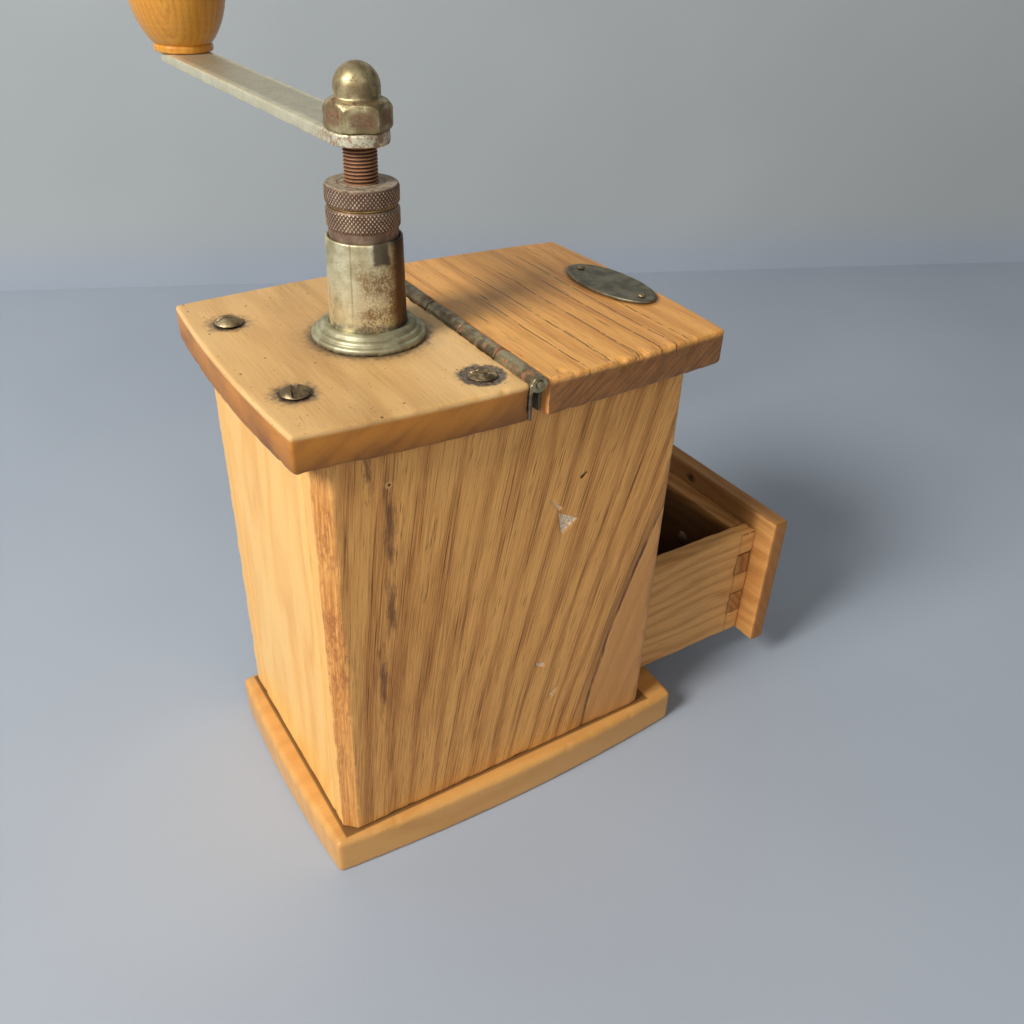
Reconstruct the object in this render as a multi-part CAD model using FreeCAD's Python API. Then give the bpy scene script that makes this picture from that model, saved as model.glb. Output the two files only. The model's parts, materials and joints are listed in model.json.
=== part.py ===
"""Box coffee mill with a hinged half lid, a knurled-nut grind adjuster, a crank and a pull-out drawer.

Frame: the origin is on the underside of the base board, under the middle of the case. +Z is up, the drawer
opens towards -Y and the grinding spindle stands behind the lid hinge, at +Y. Millimetres throughout.
"""
import FreeCAD
import Part
import math
import os

V = FreeCAD.Vector

# ---- wooden case ----
BASE_HALF_X, BASE_FRONT_Y, BASE_BACK_Y, BASE_T = 49.2, -80.0, 72.9, 15.3
TOP_HALF_X, TOP_HALF_Y, TOP_T = 50.4, 75.0, 12.3
BOW_LONG, BOW_SHORT = 3.8, 2.2
CASE_HALF_X, CASE_HALF_Y, CASE_BACK_Y = 46.5, 66.8, 67.8
PANEL_T = 11.0
CORNER_CHAMFER, BACK_RIGHT_CHAMFER = 4.0, 0.8
TOP_UNDER = 169.0
TOP_Z = TOP_UNDER + TOP_T
INNER_X = CASE_HALF_X - PANEL_T
INNER_Y = CASE_HALF_Y - PANEL_T
DRAWER_MOUTH_Z = 80.0
DIVIDER_Z, DIVIDER_T = 84.0, 8.0
RUNNER_W, RUNNER_T = 11.0, 3.5

# ---- lid and hinge ----
HINGE_Y, HINGE_Z = 0.6, TOP_Z - 0.9
GAP_HALF = 3.4
KNUCKLE_R, HINGE_PIN_R, HINGE_BORE_R = 2.8, 1.2, 1.25
LEAF_T, LEAF_DEPTH, LEAF_SHOULDER = 1.1, 11.0, 2.6
HINGE_HALF_X = 54.5
KNUCKLES = 5
KNUCKLE_GAP = 0.3
PLATE_X, PLATE_Y, PLATE_TURN = 0.3, -65.9, 4.0
PLATE_HALF_X, PLATE_HALF_Y, PLATE_T, PLATE_NAIL_OUT = 21.6, 10.2, 1.2, 16.4

# ---- grinding axis ----
AXIS_Y = 29.0
SPINDLE_R, SPINDLE_LOW_R = 5.0, 4.0
RUN_FIT = 0.05
TUBE_IN_R, TUBE_LOW_R, TUBE_TOP_R = 10.7, 12.0, 11.45
TUBE_BOTTOM, TUBE_TOP = 158.0, TOP_Z + 31.5
FLANGE_R = 17.8
BUSH_TOP = TOP_Z + 27.0
NUT_R, COLLAR_R = 10.95, 10.3
NUT_LOW_Z, KNURL_LOW_Z, KNURL_TOP_Z = BUSH_TOP + 1.2, TOP_Z + 34.0, TOP_Z + 40.2
SPACER_T, LOCK_T = 0.6, 5.8
ARM_Z, ARM_T, ARM_W = TOP_Z + 57.2, 3.8, 17.6
CAP_AF, CAP_HEX_H, CAP_DOME_R, CAP_TOP = 17.0, 8.2, 6.6, TOP_Z + 78.4
CRANK_R, CRANK_ANGLE = 147.0, 2.0
BURR_BOTTOM, BURR_TOP = 85.0, 107.0
HOUSING_BOTTOM, HOUSING_TOP, HOUSING_R, HOUSING_IN_R = 80.0, 104.0, 23.5, 20.0

# ---- drawer, drawn as far out as it stands at rest ----
DRAWER_OUT = 63.4
FRONT_BACK_Y = -(CASE_HALF_Y + 0.3) - DRAWER_OUT
FRONT_T, FRONT_HALF_X, FRONT_LOW, FRONT_TOP = 7.3, 44.5, 18.1, 81.3
DRAWER_HALF_X, DRAWER_WALL = 34.6, 7.5
DRAWER_LOW, DRAWER_TOP, DRAWER_LEN = 19.1, 72.7, 111.0
DRAWER_BACK_TOP = 70.0
BACK_Y = FRONT_BACK_Y + DRAWER_LEN
DRAWER_KNOB_Z = 50.0
INNER_FRONT_T = 8.0
FINGERS = 5


def box(x0, x1, y0, y1, z0, z1):
    return Part.makeBox(x1 - x0, y1 - y0, z1 - z0, V(x0, y0, z0))


def cyl(r, z0, z1, x=0.0, y=0.0):
    return Part.makeCylinder(r, z1 - z0, V(x, y, z0))


def rod(r, start, direction, length):
    return Part.makeCylinder(r, length, V(*start), V(*direction))


def turned(points, x=0.0, y=0.0):
    """A solid of revolution about the vertical line through (x, y) from (radius, z) points."""
    loop = [V(r, 0, z) for r, z in points]
    face = Part.Face(Part.makePolygon(loop + [loop[0]]))
    solid = face.revolve(V(0, 0, 0), V(0, 0, 1), 360)
    solid.translate(V(x, y, 0))
    return solid


def hexagon(across_flats, z0, z1, x=0.0, y=0.0, turn=0.0):
    r = across_flats / math.sqrt(3)
    angles = [math.radians(60 * i + turn) for i in range(7)]
    loop = [V(x + r * math.cos(a), y + r * math.sin(a), z0) for a in angles]
    return Part.Face(Part.makePolygon(loop)).extrude(V(0, 0, z1 - z0))


def bowed_plate(a, y0, y1, z0, z1):
    """A rectangle whose four sides bow outwards in shallow arcs."""
    mid = (y0 + y1) / 2
    corners = [V(-a, y0, z0), V(a, y0, z0), V(a, y1, z0), V(-a, y1, z0)]
    middles = [V(0, y0 - BOW_SHORT, z0), V(a + BOW_LONG, mid, z0), V(0, y1 + BOW_SHORT, z0),
               V(-a - BOW_LONG, mid, z0)]
    arcs = [Part.Arc(corners[i], middles[i], corners[(i + 1) % 4]).toShape() for i in range(4)]
    return Part.Face(Part.Wire(arcs)).extrude(V(0, 0, z1 - z0))


def upright_edges(shape):
    def upright(box):
        return box.ZLength > 3 and box.XLength + box.YLength < 1e-3
    return [e for e in shape.Edges if upright(e.BoundBox)]


def level_edges(shape, z):
    return [e for e in shape.Edges if e.BoundBox.ZLength < 1e-4 and abs(e.BoundBox.ZMin - z) < 1e-4]


def eased(shape, upright_r, z_radii):
    """Round the upright corners, then the flat edges at each height z by its radius."""
    if upright_r:
        shape = shape.makeFillet(upright_r, upright_edges(shape))
    for z, r in z_radii:
        shape = shape.makeFillet(r, level_edges(shape, z))
    return shape


def wood_screw(x, y, z, direction, head_r, head_h, shank_r, length):
    """A slotted round-head screw: the head stands on z and the shank goes along direction."""
    cap_r = (head_r ** 2 + head_h ** 2) / (2 * head_h)
    ball = Part.makeSphere(cap_r, V(0, 0, head_h - cap_r))
    head = ball.common(cyl(head_r + 1, 0, head_h + 1))
    head = head.cut(box(-head_r, head_r, -0.6, 0.6, head_h * 0.45, head_h + 1))
    shank = turned([(0, -length), (shank_r * 0.4, -length + 2), (shank_r, -length + 5), (shank_r, 0),
                    (0, 0)])
    return placed(head.fuse(shank), x, y, z, direction)


def flush_screw(x, y, z, direction, head_r, head_h, shank_r, length):
    """A slotted countersunk screw whose flat head is level with z."""
    body = turned([(0, -length), (shank_r * 0.4, -length + 1.5), (shank_r, -length + 3), (shank_r, -head_h),
                   (head_r, 0), (0, 0)])
    body = body.cut(box(-head_r, head_r, -0.35, 0.35, -head_h * 0.45, 1))
    return placed(body, x, y, z, direction)


def placed(shape, x, y, z, direction):
    """Turn a shape drawn along +Z so that +Z becomes direction, and move it to (x, y, z)."""
    turn = FreeCAD.Rotation(V(0, 0, 1), V(*direction))
    shape = shape.copy()
    shape.Placement = FreeCAD.Placement(V(x, y, z), turn)
    return shape


def drilled(shape, tools):
    """Cut each screw's own envelope, without its slot, out of the wood that it goes through."""
    for tool in tools:
        shape = shape.cut(tool)
    return shape


def save(name, shape):
    if isinstance(shape, list):
        shape = Part.makeCompound(shape)
    shape.exportStep("parts/" + name + ".step")


# ---- screws and the clean holes that they leave ----
TOP_SCREW_SPOTS = [(28.0, 64.5), (-28.0, 64.5), (42.5, 13.0), (-42.5, 13.0)]
BASE_SCREW_SPOTS = [(sx * 41.0, sy * 45.0) for sx in (-1, 1) for sy in (-1, 1)]
HOUSING_SCREW_ANGLES = [30, 150, 270]
HOUSING_SCREW_PCD_R = 27.3
BRIDGE_SCREW_X = 21.75
HINGE_SCREW_X = [-30.0, 0.0, 30.0]
HINGE_SCREW_Z = TOP_Z - 7.4


def base_screws():
    return [flush_screw(x, y, 0.4, (0, 0, -1), 4.0, 2.6, 1.9, 34.0) for x, y in BASE_SCREW_SPOTS]


def base_holes():
    tool = turned([(0, -34.5), (1.9, -34.5), (1.9, -2.6), (4.0, 0), (4.0, 1), (0, 1)])
    return [placed(tool, x, y, 0.4, (0, 0, -1)) for x, y in BASE_SCREW_SPOTS]


def top_screws():
    return [wood_screw(x, y, TOP_Z, (0, 0, 1), 4.6, 2.3, 2.0, 30.0) for x, y in TOP_SCREW_SPOTS]


def top_holes():
    return [cyl(2.0, TOP_Z - 30.0, TOP_Z + 1, x, y) for x, y in TOP_SCREW_SPOTS]


# ---- wooden case ----
def base_board():
    plate = bowed_plate(BASE_HALF_X, BASE_FRONT_Y, BASE_BACK_Y, 0, BASE_T)
    return drilled(eased(plate, 1.5, [(BASE_T, 2.2), (0, 0.8)]), base_holes())


def side_panel(side):
    outer, inner = side * CASE_HALF_X, side * INNER_X
    y0, y1, c = -CASE_HALF_Y, CASE_BACK_Y, CORNER_CHAMFER
    back = BACK_RIGHT_CHAMFER if side > 0 else c
    loop = [(inner, y0), (outer - side * c, y0), (outer, y0 + c), (outer, y1 - back),
            (outer - side * back, y1), (inner, y1)]
    wire = Part.makePolygon([V(x, y, BASE_T) for x, y in loop + [loop[0]]])
    panel = Part.Face(wire).extrude(V(0, 0, TOP_UNDER - BASE_T))
    return drilled(panel, base_holes() + top_holes())


def end_panel(y0, y1, low):
    return drilled(box(-INNER_X, INNER_X, y0, y1, low, TOP_UNDER), top_holes())


def divider_board():
    board = box(-INNER_X, INNER_X, -INNER_Y, INNER_Y, DIVIDER_Z, DIVIDER_Z + DIVIDER_T)
    board = board.cut(cyl(HOUSING_R, DIVIDER_Z - 1, DIVIDER_Z + DIVIDER_T + 1, 0, AXIS_Y))
    low, high = DIVIDER_Z + 1, DIVIDER_Z + DIVIDER_T + 1
    return drilled(board, [cyl(1.6, low, high, x, y) for x, y in housing_screw_spots()])


def runner(side):
    x0, x1 = sorted((side * INNER_X, side * (INNER_X - RUNNER_W)))
    return box(x0, x1, -CASE_HALF_Y, INNER_Y, BASE_T, BASE_T + RUNNER_T)


def top_half(y0, y1, holes):
    plate = bowed_plate(TOP_HALF_X, -TOP_HALF_Y, TOP_HALF_Y, TOP_UNDER, TOP_Z)
    plate = eased(plate, 1.0, [(TOP_Z, 0.9), (TOP_UNDER, 1.4)])
    return drilled(plate.common(box(-60, 60, y0, y1, TOP_UNDER - 1, TOP_Z + 1)), holes)


# ---- lid hinge ----
def knuckle_spans():
    pitch = 2 * HINGE_HALF_X / KNUCKLES
    return [(-HINGE_HALF_X + i * pitch + KNUCKLE_GAP / 2, -HINGE_HALF_X + (i + 1) * pitch - KNUCKLE_GAP / 2)
            for i in range(KNUCKLES)]


def hinge_leaf(side, own):
    """One leaf: a plate against the board's end face, standing up into every second knuckle."""
    y0, y1 = sorted((HINGE_Y + side * GAP_HALF, HINGE_Y + side * (GAP_HALF - LEAF_T)))
    leaf = box(-TOP_HALF_X, TOP_HALF_X, y0, y1, HINGE_Z - LEAF_DEPTH, HINGE_Z - LEAF_SHOULDER)
    for index, (x0, x1) in enumerate(knuckle_spans()):
        if index % 2 == own:
            leaf = leaf.fuse(box(x0, x1, y0, y1, HINGE_Z - LEAF_DEPTH, HINGE_Z))
            leaf = leaf.fuse(rod(KNUCKLE_R, (x0, HINGE_Y, HINGE_Z), (1, 0, 0), x1 - x0))
    leaf = leaf.cut(rod(HINGE_BORE_R, (-60, HINGE_Y, HINGE_Z), (1, 0, 0), 120))
    return drilled(leaf.removeSplitter(), hinge_holes(side))


def hinge_screws(side):
    face = HINGE_Y + side * (GAP_HALF - LEAF_T)
    return [flush_screw(x, face, HINGE_SCREW_Z, (0, -side, 0), 2.2, 1.1, 1.1, 13.0) for x in HINGE_SCREW_X]


def hinge_holes(side):
    face = HINGE_Y + side * (GAP_HALF - LEAF_T)
    tool = turned([(0, -13.4), (1.1, -13.4), (1.1, -1.1), (2.2, 0), (2.2, 1), (0, 1)])
    return [placed(tool, x, face, HINGE_SCREW_Z, (0, -side, 0)) for x in HINGE_SCREW_X]


def hinge_pin():
    return rod(HINGE_PIN_R, (-HINGE_HALF_X - 0.4, HINGE_Y, HINGE_Z), (1, 0, 0), 2 * HINGE_HALF_X + 0.8)


# ---- lid plate ----
def plate_nail_spots():
    turn = math.radians(PLATE_TURN)
    out_x, out_y = PLATE_NAIL_OUT * math.cos(turn), PLATE_NAIL_OUT * math.sin(turn)
    return [(PLATE_X + s * out_x, PLATE_Y + s * out_y) for s in (-1, 1)]


def name_plate():
    oval = Part.Ellipse(V(0, 0, TOP_Z), PLATE_HALF_X, PLATE_HALF_Y).toShape()
    plate = Part.Face(Part.Wire(oval)).extrude(V(0, 0, PLATE_T))
    plate = plate.makeChamfer(0.4, level_edges(plate, TOP_Z + PLATE_T))
    plate.rotate(V(0, 0, 0), V(0, 0, 1), PLATE_TURN)
    plate.translate(V(PLATE_X, PLATE_Y, 0))
    return drilled(plate, [cyl(0.8, TOP_Z - 1, TOP_Z + 3, x, y) for x, y in plate_nail_spots()])


def plate_nails():
    z = TOP_Z + PLATE_T
    profile = [(0, z - 9), (0.8, z - 7.5), (0.8, z), (1.5, z), (1.3, z + 0.5), (0.6, z + 0.8),
               (0, z + 0.85)]
    return [turned(profile, x, y) for x, y in plate_nail_spots()]


def nail_holes():
    return [cyl(0.8, TOP_Z - 7.9, TOP_Z + 1, x, y) for x, y in plate_nail_spots()]


# ---- tower that carries the spindle ----
def tower_flange():
    z = TOP_Z
    return turned([(TUBE_LOW_R, z), (FLANGE_R, z), (FLANGE_R, z + 1.5), (FLANGE_R - 0.7, z + 2.3),
                   (16.3, z + 2.7), (16.0, z + 4.2), (15.3, z + 4.9), (13.4, z + 5.1),
                   (TUBE_LOW_R, z + 5.1)], 0, AXIS_Y)


def tower_tube():
    return turned([(TUBE_IN_R, TUBE_BOTTOM), (TUBE_LOW_R, TUBE_BOTTOM), (TUBE_LOW_R, TOP_Z + 5.1),
                   (TUBE_TOP_R, TUBE_TOP - 0.3), (TUBE_TOP_R - 0.2, TUBE_TOP),
                   (TUBE_IN_R, TUBE_TOP)], 0, AXIS_Y)


def tower_nut():
    nut = hexagon(32.0, TOP_UNDER - 5.5, TOP_UNDER, 0, AXIS_Y)
    return nut.cut(cyl(TUBE_LOW_R, TOP_UNDER - 6, TOP_UNDER + 1, 0, AXIS_Y))


def bush(z0, z1):
    outer = cyl(TUBE_IN_R, z0, z1, 0, AXIS_Y)
    return outer.cut(cyl(SPINDLE_R + RUN_FIT, z0 - 1, z1 + 1, 0, AXIS_Y))


# ---- hopper and burrs ----
def rectangle(x0, x1, y0, y1, z):
    return Part.makePolygon([V(x0, y0, z), V(x1, y0, z), V(x1, y1, z), V(x0, y1, z), V(x0, y0, z)])


def funnel(inset, z_low, z_high, z_lip):
    """A four-sided funnel with an upright lip, drawn in by inset all round."""
    hx, hy, m = INNER_X - 0.1 - inset, INNER_Y - 0.1 - inset, 15.0 - inset
    wide = rectangle(-hx, hx, -hy, hy, z_high)
    narrow = rectangle(-m, m, AXIS_Y - m, AXIS_Y + m, z_low)
    return Part.makeLoft([narrow, wide], True, True).fuse(box(-hx, hx, -hy, hy, z_high, z_lip))


def hopper():
    shell = funnel(0.0, HOUSING_TOP, 158.0, 165.0).cut(funnel(1.0, HOUSING_TOP, 158.0, 165.0))
    return shell


def housing_screw_spots():
    angles = [math.radians(a) for a in HOUSING_SCREW_ANGLES]
    return [(HOUSING_SCREW_PCD_R * math.cos(a), AXIS_Y + HOUSING_SCREW_PCD_R * math.sin(a)) for a in angles]


def burr_housing():
    flange_z = DIVIDER_Z + DIVIDER_T
    cup = turned([(HOUSING_IN_R, HOUSING_BOTTOM), (HOUSING_R, HOUSING_BOTTOM), (HOUSING_R, flange_z),
                  (31.0, flange_z), (31.0, flange_z + 3), (HOUSING_R, flange_z + 3), (HOUSING_R,
                                                                                      HOUSING_TOP),
                  (HOUSING_IN_R, HOUSING_TOP)], 0, AXIS_Y)
    cup = cup.common(box(-60, 60, -60, INNER_Y, 0, 200))
    tools = [cyl(1.6, flange_z - 1, flange_z + 4, x, y) for x, y in housing_screw_spots()]
    tools += [cyl(1.2, HOUSING_BOTTOM - 1, HOUSING_BOTTOM + 9, s * 21.75, AXIS_Y) for s in (-1, 1)]
    return drilled(cup, tools)


def housing_screws():
    z = DIVIDER_Z + DIVIDER_T + 3
    return [wood_screw(x, y, z, (0, 0, 1), 3.0, 1.8, 1.6, 10.0) for x, y in housing_screw_spots()]


def ring_burr():
    ring = turned([(16.8, 85), (HOUSING_IN_R, 85), (HOUSING_IN_R, 103), (18.9, 103), (16.1, 91)], 0, AXIS_Y)
    for i in range(16):
        notch = box(15.0, 17.9, -0.9, 0.9, 90, 104)
        notch.rotate(V(0, 0, 0), V(0, 0, 1), i * 22.5)
        notch.translate(V(0, AXIS_Y, 0))
        ring = ring.cut(notch)
    return ring


def cone_burr():
    cone = turned([(SPINDLE_LOW_R, BURR_BOTTOM), (16.2, BURR_BOTTOM), (15.0, 91), (8.2, BURR_TOP - 1),
                   (7.4, BURR_TOP), (SPINDLE_LOW_R, BURR_TOP)], 0, AXIS_Y)
    for i in range(10):
        flute = box(-1.3, 1.3, -1.6, 1.6, -14, 16)
        flute.rotate(V(0, 0, 0), V(1, 0, 0), 14)
        flute.rotate(V(0, 0, 0), V(0, 1, 0), -23)
        flute.translate(V(13.6, 0, 96))
        flute.rotate(V(0, 0, 0), V(0, 0, 1), i * 36)
        flute.translate(V(0, AXIS_Y, 0))
        cone = cone.cut(flute)
    return cone


def burr_nut():
    nut = hexagon(13.0, BURR_BOTTOM - 4, BURR_BOTTOM, 0, AXIS_Y)
    return nut.cut(cyl(SPINDLE_LOW_R, BURR_BOTTOM - 5, BURR_BOTTOM + 1, 0, AXIS_Y))


def bearing_bridge():
    bar = box(-23.2, 23.2, AXIS_Y - 6, AXIS_Y + 6, HOUSING_BOTTOM - 4, HOUSING_BOTTOM)
    bar = bar.cut(cyl(SPINDLE_LOW_R + RUN_FIT, HOUSING_BOTTOM - 5, HOUSING_BOTTOM + 1, 0, AXIS_Y))
    low, high = HOUSING_BOTTOM - 5, HOUSING_BOTTOM + 1
    return drilled(bar, [cyl(1.2, low, high, s * BRIDGE_SCREW_X, AXIS_Y) for s in (-1, 1)])


def bridge_screws():
    z = HOUSING_BOTTOM - 4
    return [wood_screw(s * BRIDGE_SCREW_X, AXIS_Y, z, (0, 0, -1), 2.2, 1.4, 1.2, 12.0) for s in (-1, 1)]


# ---- spindle, adjuster and crank ----
def spindle():
    top = ARM_Z + ARM_T + 11.3
    return turned([(0, 75.5), (3.2, 75.5), (SPINDLE_LOW_R, 76.3), (SPINDLE_LOW_R, BURR_TOP),
                   (SPINDLE_R, BURR_TOP), (SPINDLE_R, top - 0.8), (4.2, top), (0, top)], 0, AXIS_Y)


def thrust_washer():
    ring = cyl(9.6, BUSH_TOP + 0.05, BUSH_TOP + 1.15, 0, AXIS_Y)
    return ring.cut(cyl(SPINDLE_R + RUN_FIT, BUSH_TOP - 1, BUSH_TOP + 2, 0, AXIS_Y))


def nut_ring(points):
    bore = SPINDLE_R + RUN_FIT
    return turned([(bore, points[0][1])] + points + [(bore, points[-1][1])], 0, AXIS_Y)


def adjusting_nut():
    return nut_ring([(COLLAR_R, NUT_LOW_Z), (COLLAR_R, KNURL_LOW_Z), (NUT_R - 0.5, KNURL_LOW_Z),
                     (NUT_R, KNURL_LOW_Z + 0.5), (NUT_R, KNURL_TOP_Z - 0.5), (NUT_R - 0.5, KNURL_TOP_Z)])


def nut_spacer():
    return nut_ring([(10.0, KNURL_TOP_Z), (10.0, KNURL_TOP_Z + SPACER_T)])


def lock_nut():
    low, top = KNURL_TOP_Z + SPACER_T, KNURL_TOP_Z + SPACER_T + LOCK_T
    return nut_ring([(NUT_R - 0.5, low), (NUT_R, low + 0.5), (NUT_R, top - 0.6), (NUT_R - 0.8, top)])


def crank_turned(shape):
    """Turn a piece drawn with the arm along +X about the spindle to where the crank stands at rest."""
    shape.rotate(V(0, AXIS_Y, 0), V(0, 0, 1), CRANK_ANGLE)
    return shape


def crank_arm():
    half, top = ARM_W / 2, ARM_Z + ARM_T
    bar = box(0, CRANK_R, AXIS_Y - half, AXIS_Y + half, ARM_Z, top)
    for x in (0, CRANK_R):
        bar = bar.fuse(cyl(half, ARM_Z, top, x, AXIS_Y))
    bar = bar.removeSplitter()
    bar = bar.makeChamfer(0.4, level_edges(bar, ARM_Z) + level_edges(bar, top))
    for x, r in ((0, SPINDLE_R), (CRANK_R, 3.0)):
        bar = bar.cut(cyl(r, ARM_Z - 1, top + 1, x, AXIS_Y))
    return crank_turned(bar)


def cap_nut():
    low, shoulder = ARM_Z + ARM_T, ARM_Z + ARM_T + CAP_HEX_H
    corner = CAP_AF / math.sqrt(3)
    blank = turned([(0, low), (CAP_AF / 2 + 0.5, low), (corner, low + 0.7), (corner, shoulder - 2.4),
                    (CAP_AF / 2, shoulder - 0.7), (CAP_DOME_R + 0.6, shoulder), (0, shoulder)], 0, AXIS_Y)
    nut = hexagon(CAP_AF, low, shoulder, 0, AXIS_Y, 12.0).common(blank)
    straight = CAP_TOP - CAP_DOME_R
    nut = nut.fuse(cyl(CAP_DOME_R, low, straight, 0, AXIS_Y))
    nut = nut.fuse(Part.makeSphere(CAP_DOME_R, V(0, AXIS_Y, straight)))
    return nut.removeSplitter().cut(spindle())


def knob_profile():
    z = ARM_Z + ARM_T + 0.2
    return [(10.7, z), (11.0, z + 0.5), (11.0, z + 2.2), (10.6, z + 2.7), (11.3, z + 3.1), (13.5, z + 6.3),
            (15.3, z + 9.7), (16.6, z + 13.5), (17.6, z + 18.0), (18.1, z + 23.0), (17.8, z + 28.0),
            (16.6, z + 33.0), (14.4, z + 37.5), (11.4, z + 41.0), (7.8, z + 43.2), (5.0, z + 43.9)]


def crank_knob():
    points = knob_profile()
    z = points[0][1]
    curve = Part.BSplineCurve()
    curve.interpolate([V(r, 0, h) for r, h in points[4:]])
    edges = [Part.makePolygon([V(r, 0, h) for r, h in points[:5]]), curve.toShape()]
    head_z = z + 41.2
    inner = [V(5.0, 0, z + 43.9), V(5.0, 0, head_z), V(3.05, 0, head_z), V(3.05, 0, z), V(points[0][0], 0,
                                                                                          z)]
    wire = Part.Wire(edges[0].Edges + [edges[1]] + Part.makePolygon(inner).Edges)
    knob = Part.Face(wire).revolve(V(0, 0, 0), V(0, 0, 1), 360)
    knob.translate(V(CRANK_R, AXIS_Y, 0))
    return crank_turned(knob)


def knob_screw():
    z = ARM_Z + ARM_T + 0.2 + 41.2 + 0.2
    screw = turned([(0, ARM_Z - 1.6), (3.6, ARM_Z - 1.6), (4.4, ARM_Z), (3.0, ARM_Z), (3.0, z), (4.6, z),
                    (4.6, z + 1.2), (3.6, z + 2.0), (0, z + 2.2)], CRANK_R, AXIS_Y)
    slot = box(CRANK_R - 5, CRANK_R + 5, AXIS_Y - 0.6, AXIS_Y + 0.6, z + 1.2, z + 3)
    return crank_turned(screw.cut(slot))


# ---- drawer ----
def tongues(side, y0, y1):
    """The odd fingers of a box joint, which belong to the cross wall."""
    x0, x1 = sorted((side * DRAWER_HALF_X, side * (DRAWER_HALF_X - DRAWER_WALL)))
    pitch = (DRAWER_TOP - DRAWER_LOW) / FINGERS
    levels = [DRAWER_LOW + i * pitch for i in range(1, FINGERS, 2)]
    return [box(x0, x1, y0, y1, z, z + pitch) for z in levels]


def drawer_side(side):
    x0, x1 = sorted((side * DRAWER_HALF_X, side * (DRAWER_HALF_X - DRAWER_WALL)))
    wall = box(x0, x1, FRONT_BACK_Y, BACK_Y, DRAWER_LOW, DRAWER_TOP)
    ends = ((FRONT_BACK_Y, FRONT_BACK_Y + INNER_FRONT_T), (BACK_Y - DRAWER_WALL, BACK_Y))
    return drilled(wall, [tongue for y0, y1 in ends for tongue in tongues(side, y0, y1)])


def jointed_wall(y0, y1, top):
    wall = drawer_cross(y0, y1, DRAWER_LOW, top)
    for side in (-1, 1):
        for tongue in tongues(side, y0, y1):
            wall = wall.fuse(tongue)
    return wall.removeSplitter()


def drawer_cross(y0, y1, low, top):
    half = DRAWER_HALF_X - DRAWER_WALL
    return box(-half, half, y0, y1, low, top)


def drawer_front():
    y0 = FRONT_BACK_Y - FRONT_T
    panel = box(-FRONT_HALF_X, FRONT_HALF_X, y0, FRONT_BACK_Y, FRONT_LOW, FRONT_TOP)
    panel = panel.makeFillet(1.1, [e for e in panel.Edges if e.BoundBox.YMax < y0 + 0.01])
    return panel.cut(rod(2.0, (0, y0 - 1, DRAWER_KNOB_Z), (0, 1, 0), 20))


def drawer_knob():
    profile = [(0, 0), (5.4, 0), (5.0, 2.0), (5.2, 6.0), (7.0, 9.5), (8.8, 12.5), (9.2, 15.5), (8.4, 18.5),
               (6.0, 20.8), (2.6, 21.8), (0, 22)]
    knob = turned(profile).cut(cyl(2.0, -1, 14))
    return placed(knob, 0, FRONT_BACK_Y - FRONT_T, DRAWER_KNOB_Z, (0, -1, 0))


def drawer_knob_screw():
    face = FRONT_BACK_Y + INNER_FRONT_T
    return wood_screw(0, face, DRAWER_KNOB_Z, (0, 1, 0), 3.8, 2.0, 2.0, 26.0)


def drawer_inner_front():
    wall = jointed_wall(FRONT_BACK_Y, FRONT_BACK_Y + INNER_FRONT_T, DRAWER_TOP)
    return wall.cut(rod(2.0, (0, FRONT_BACK_Y - 1, DRAWER_KNOB_Z), (0, 1, 0), 20))


os.makedirs("parts", exist_ok=True)

save("base_board", base_board())
save("base_screws", base_screws())
save("side_panel_left", side_panel(-1))
save("side_panel_right", side_panel(1))
save("back_panel", end_panel(INNER_Y, CASE_BACK_Y, BASE_T))
save("front_panel", end_panel(-CASE_HALF_Y, -INNER_Y, DRAWER_MOUTH_Z))
save("divider_board", divider_board())
save("drawer_runner_left", runner(-1))
save("drawer_runner_right", runner(1))
save("top_board", top_half(HINGE_Y + GAP_HALF, 90, top_holes() + hinge_holes(1)
                           + [cyl(TUBE_LOW_R, TOP_UNDER - 1, TOP_Z + 1, 0, AXIS_Y)]))
save("top_screws", top_screws())

save("lid_board", top_half(-90, HINGE_Y - GAP_HALF, hinge_holes(-1) + nail_holes()))
save("hinge_leaf_fixed", hinge_leaf(1, 0))
save("hinge_leaf_lid", hinge_leaf(-1, 1))
save("hinge_screws_fixed", hinge_screws(1))
save("hinge_screws_lid", hinge_screws(-1))
save("hinge_pin", hinge_pin())
save("name_plate", name_plate())
save("plate_nails", plate_nails())

save("tower_flange", tower_flange())
save("tower_tube", tower_tube())
save("tower_nut", tower_nut())
save("upper_bush", bush(196.0, BUSH_TOP))
save("lower_bush", bush(TUBE_BOTTOM, TUBE_BOTTOM + 10))
save("hopper", hopper())
save("burr_housing", burr_housing())
save("housing_screws", housing_screws())
save("ring_burr", ring_burr())
save("bearing_bridge", bearing_bridge())
save("bridge_screws", bridge_screws())

save("thrust_washer", thrust_washer())
save("adjusting_nut", adjusting_nut())
save("nut_spacer", nut_spacer())
save("lock_nut", lock_nut())
save("spindle", spindle())
save("cone_burr", cone_burr())
save("burr_nut", burr_nut())
save("crank_arm", crank_arm())
save("cap_nut", cap_nut())
save("knob_screw", knob_screw())
save("crank_knob", crank_knob())

save("drawer_front", drawer_front())
save("drawer_inner_front", drawer_inner_front())
save("drawer_side_left", drawer_side(-1))
save("drawer_side_right", drawer_side(1))
save("drawer_back", jointed_wall(BACK_Y - DRAWER_WALL, BACK_Y, DRAWER_BACK_TOP))
save("drawer_bottom", drawer_cross(FRONT_BACK_Y + INNER_FRONT_T, BACK_Y - DRAWER_WALL, DRAWER_LOW + 1.5,
                                   DRAWER_LOW + 5.0))
save("drawer_knob", drawer_knob())
save("drawer_knob_screw", drawer_knob_screw())
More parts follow.
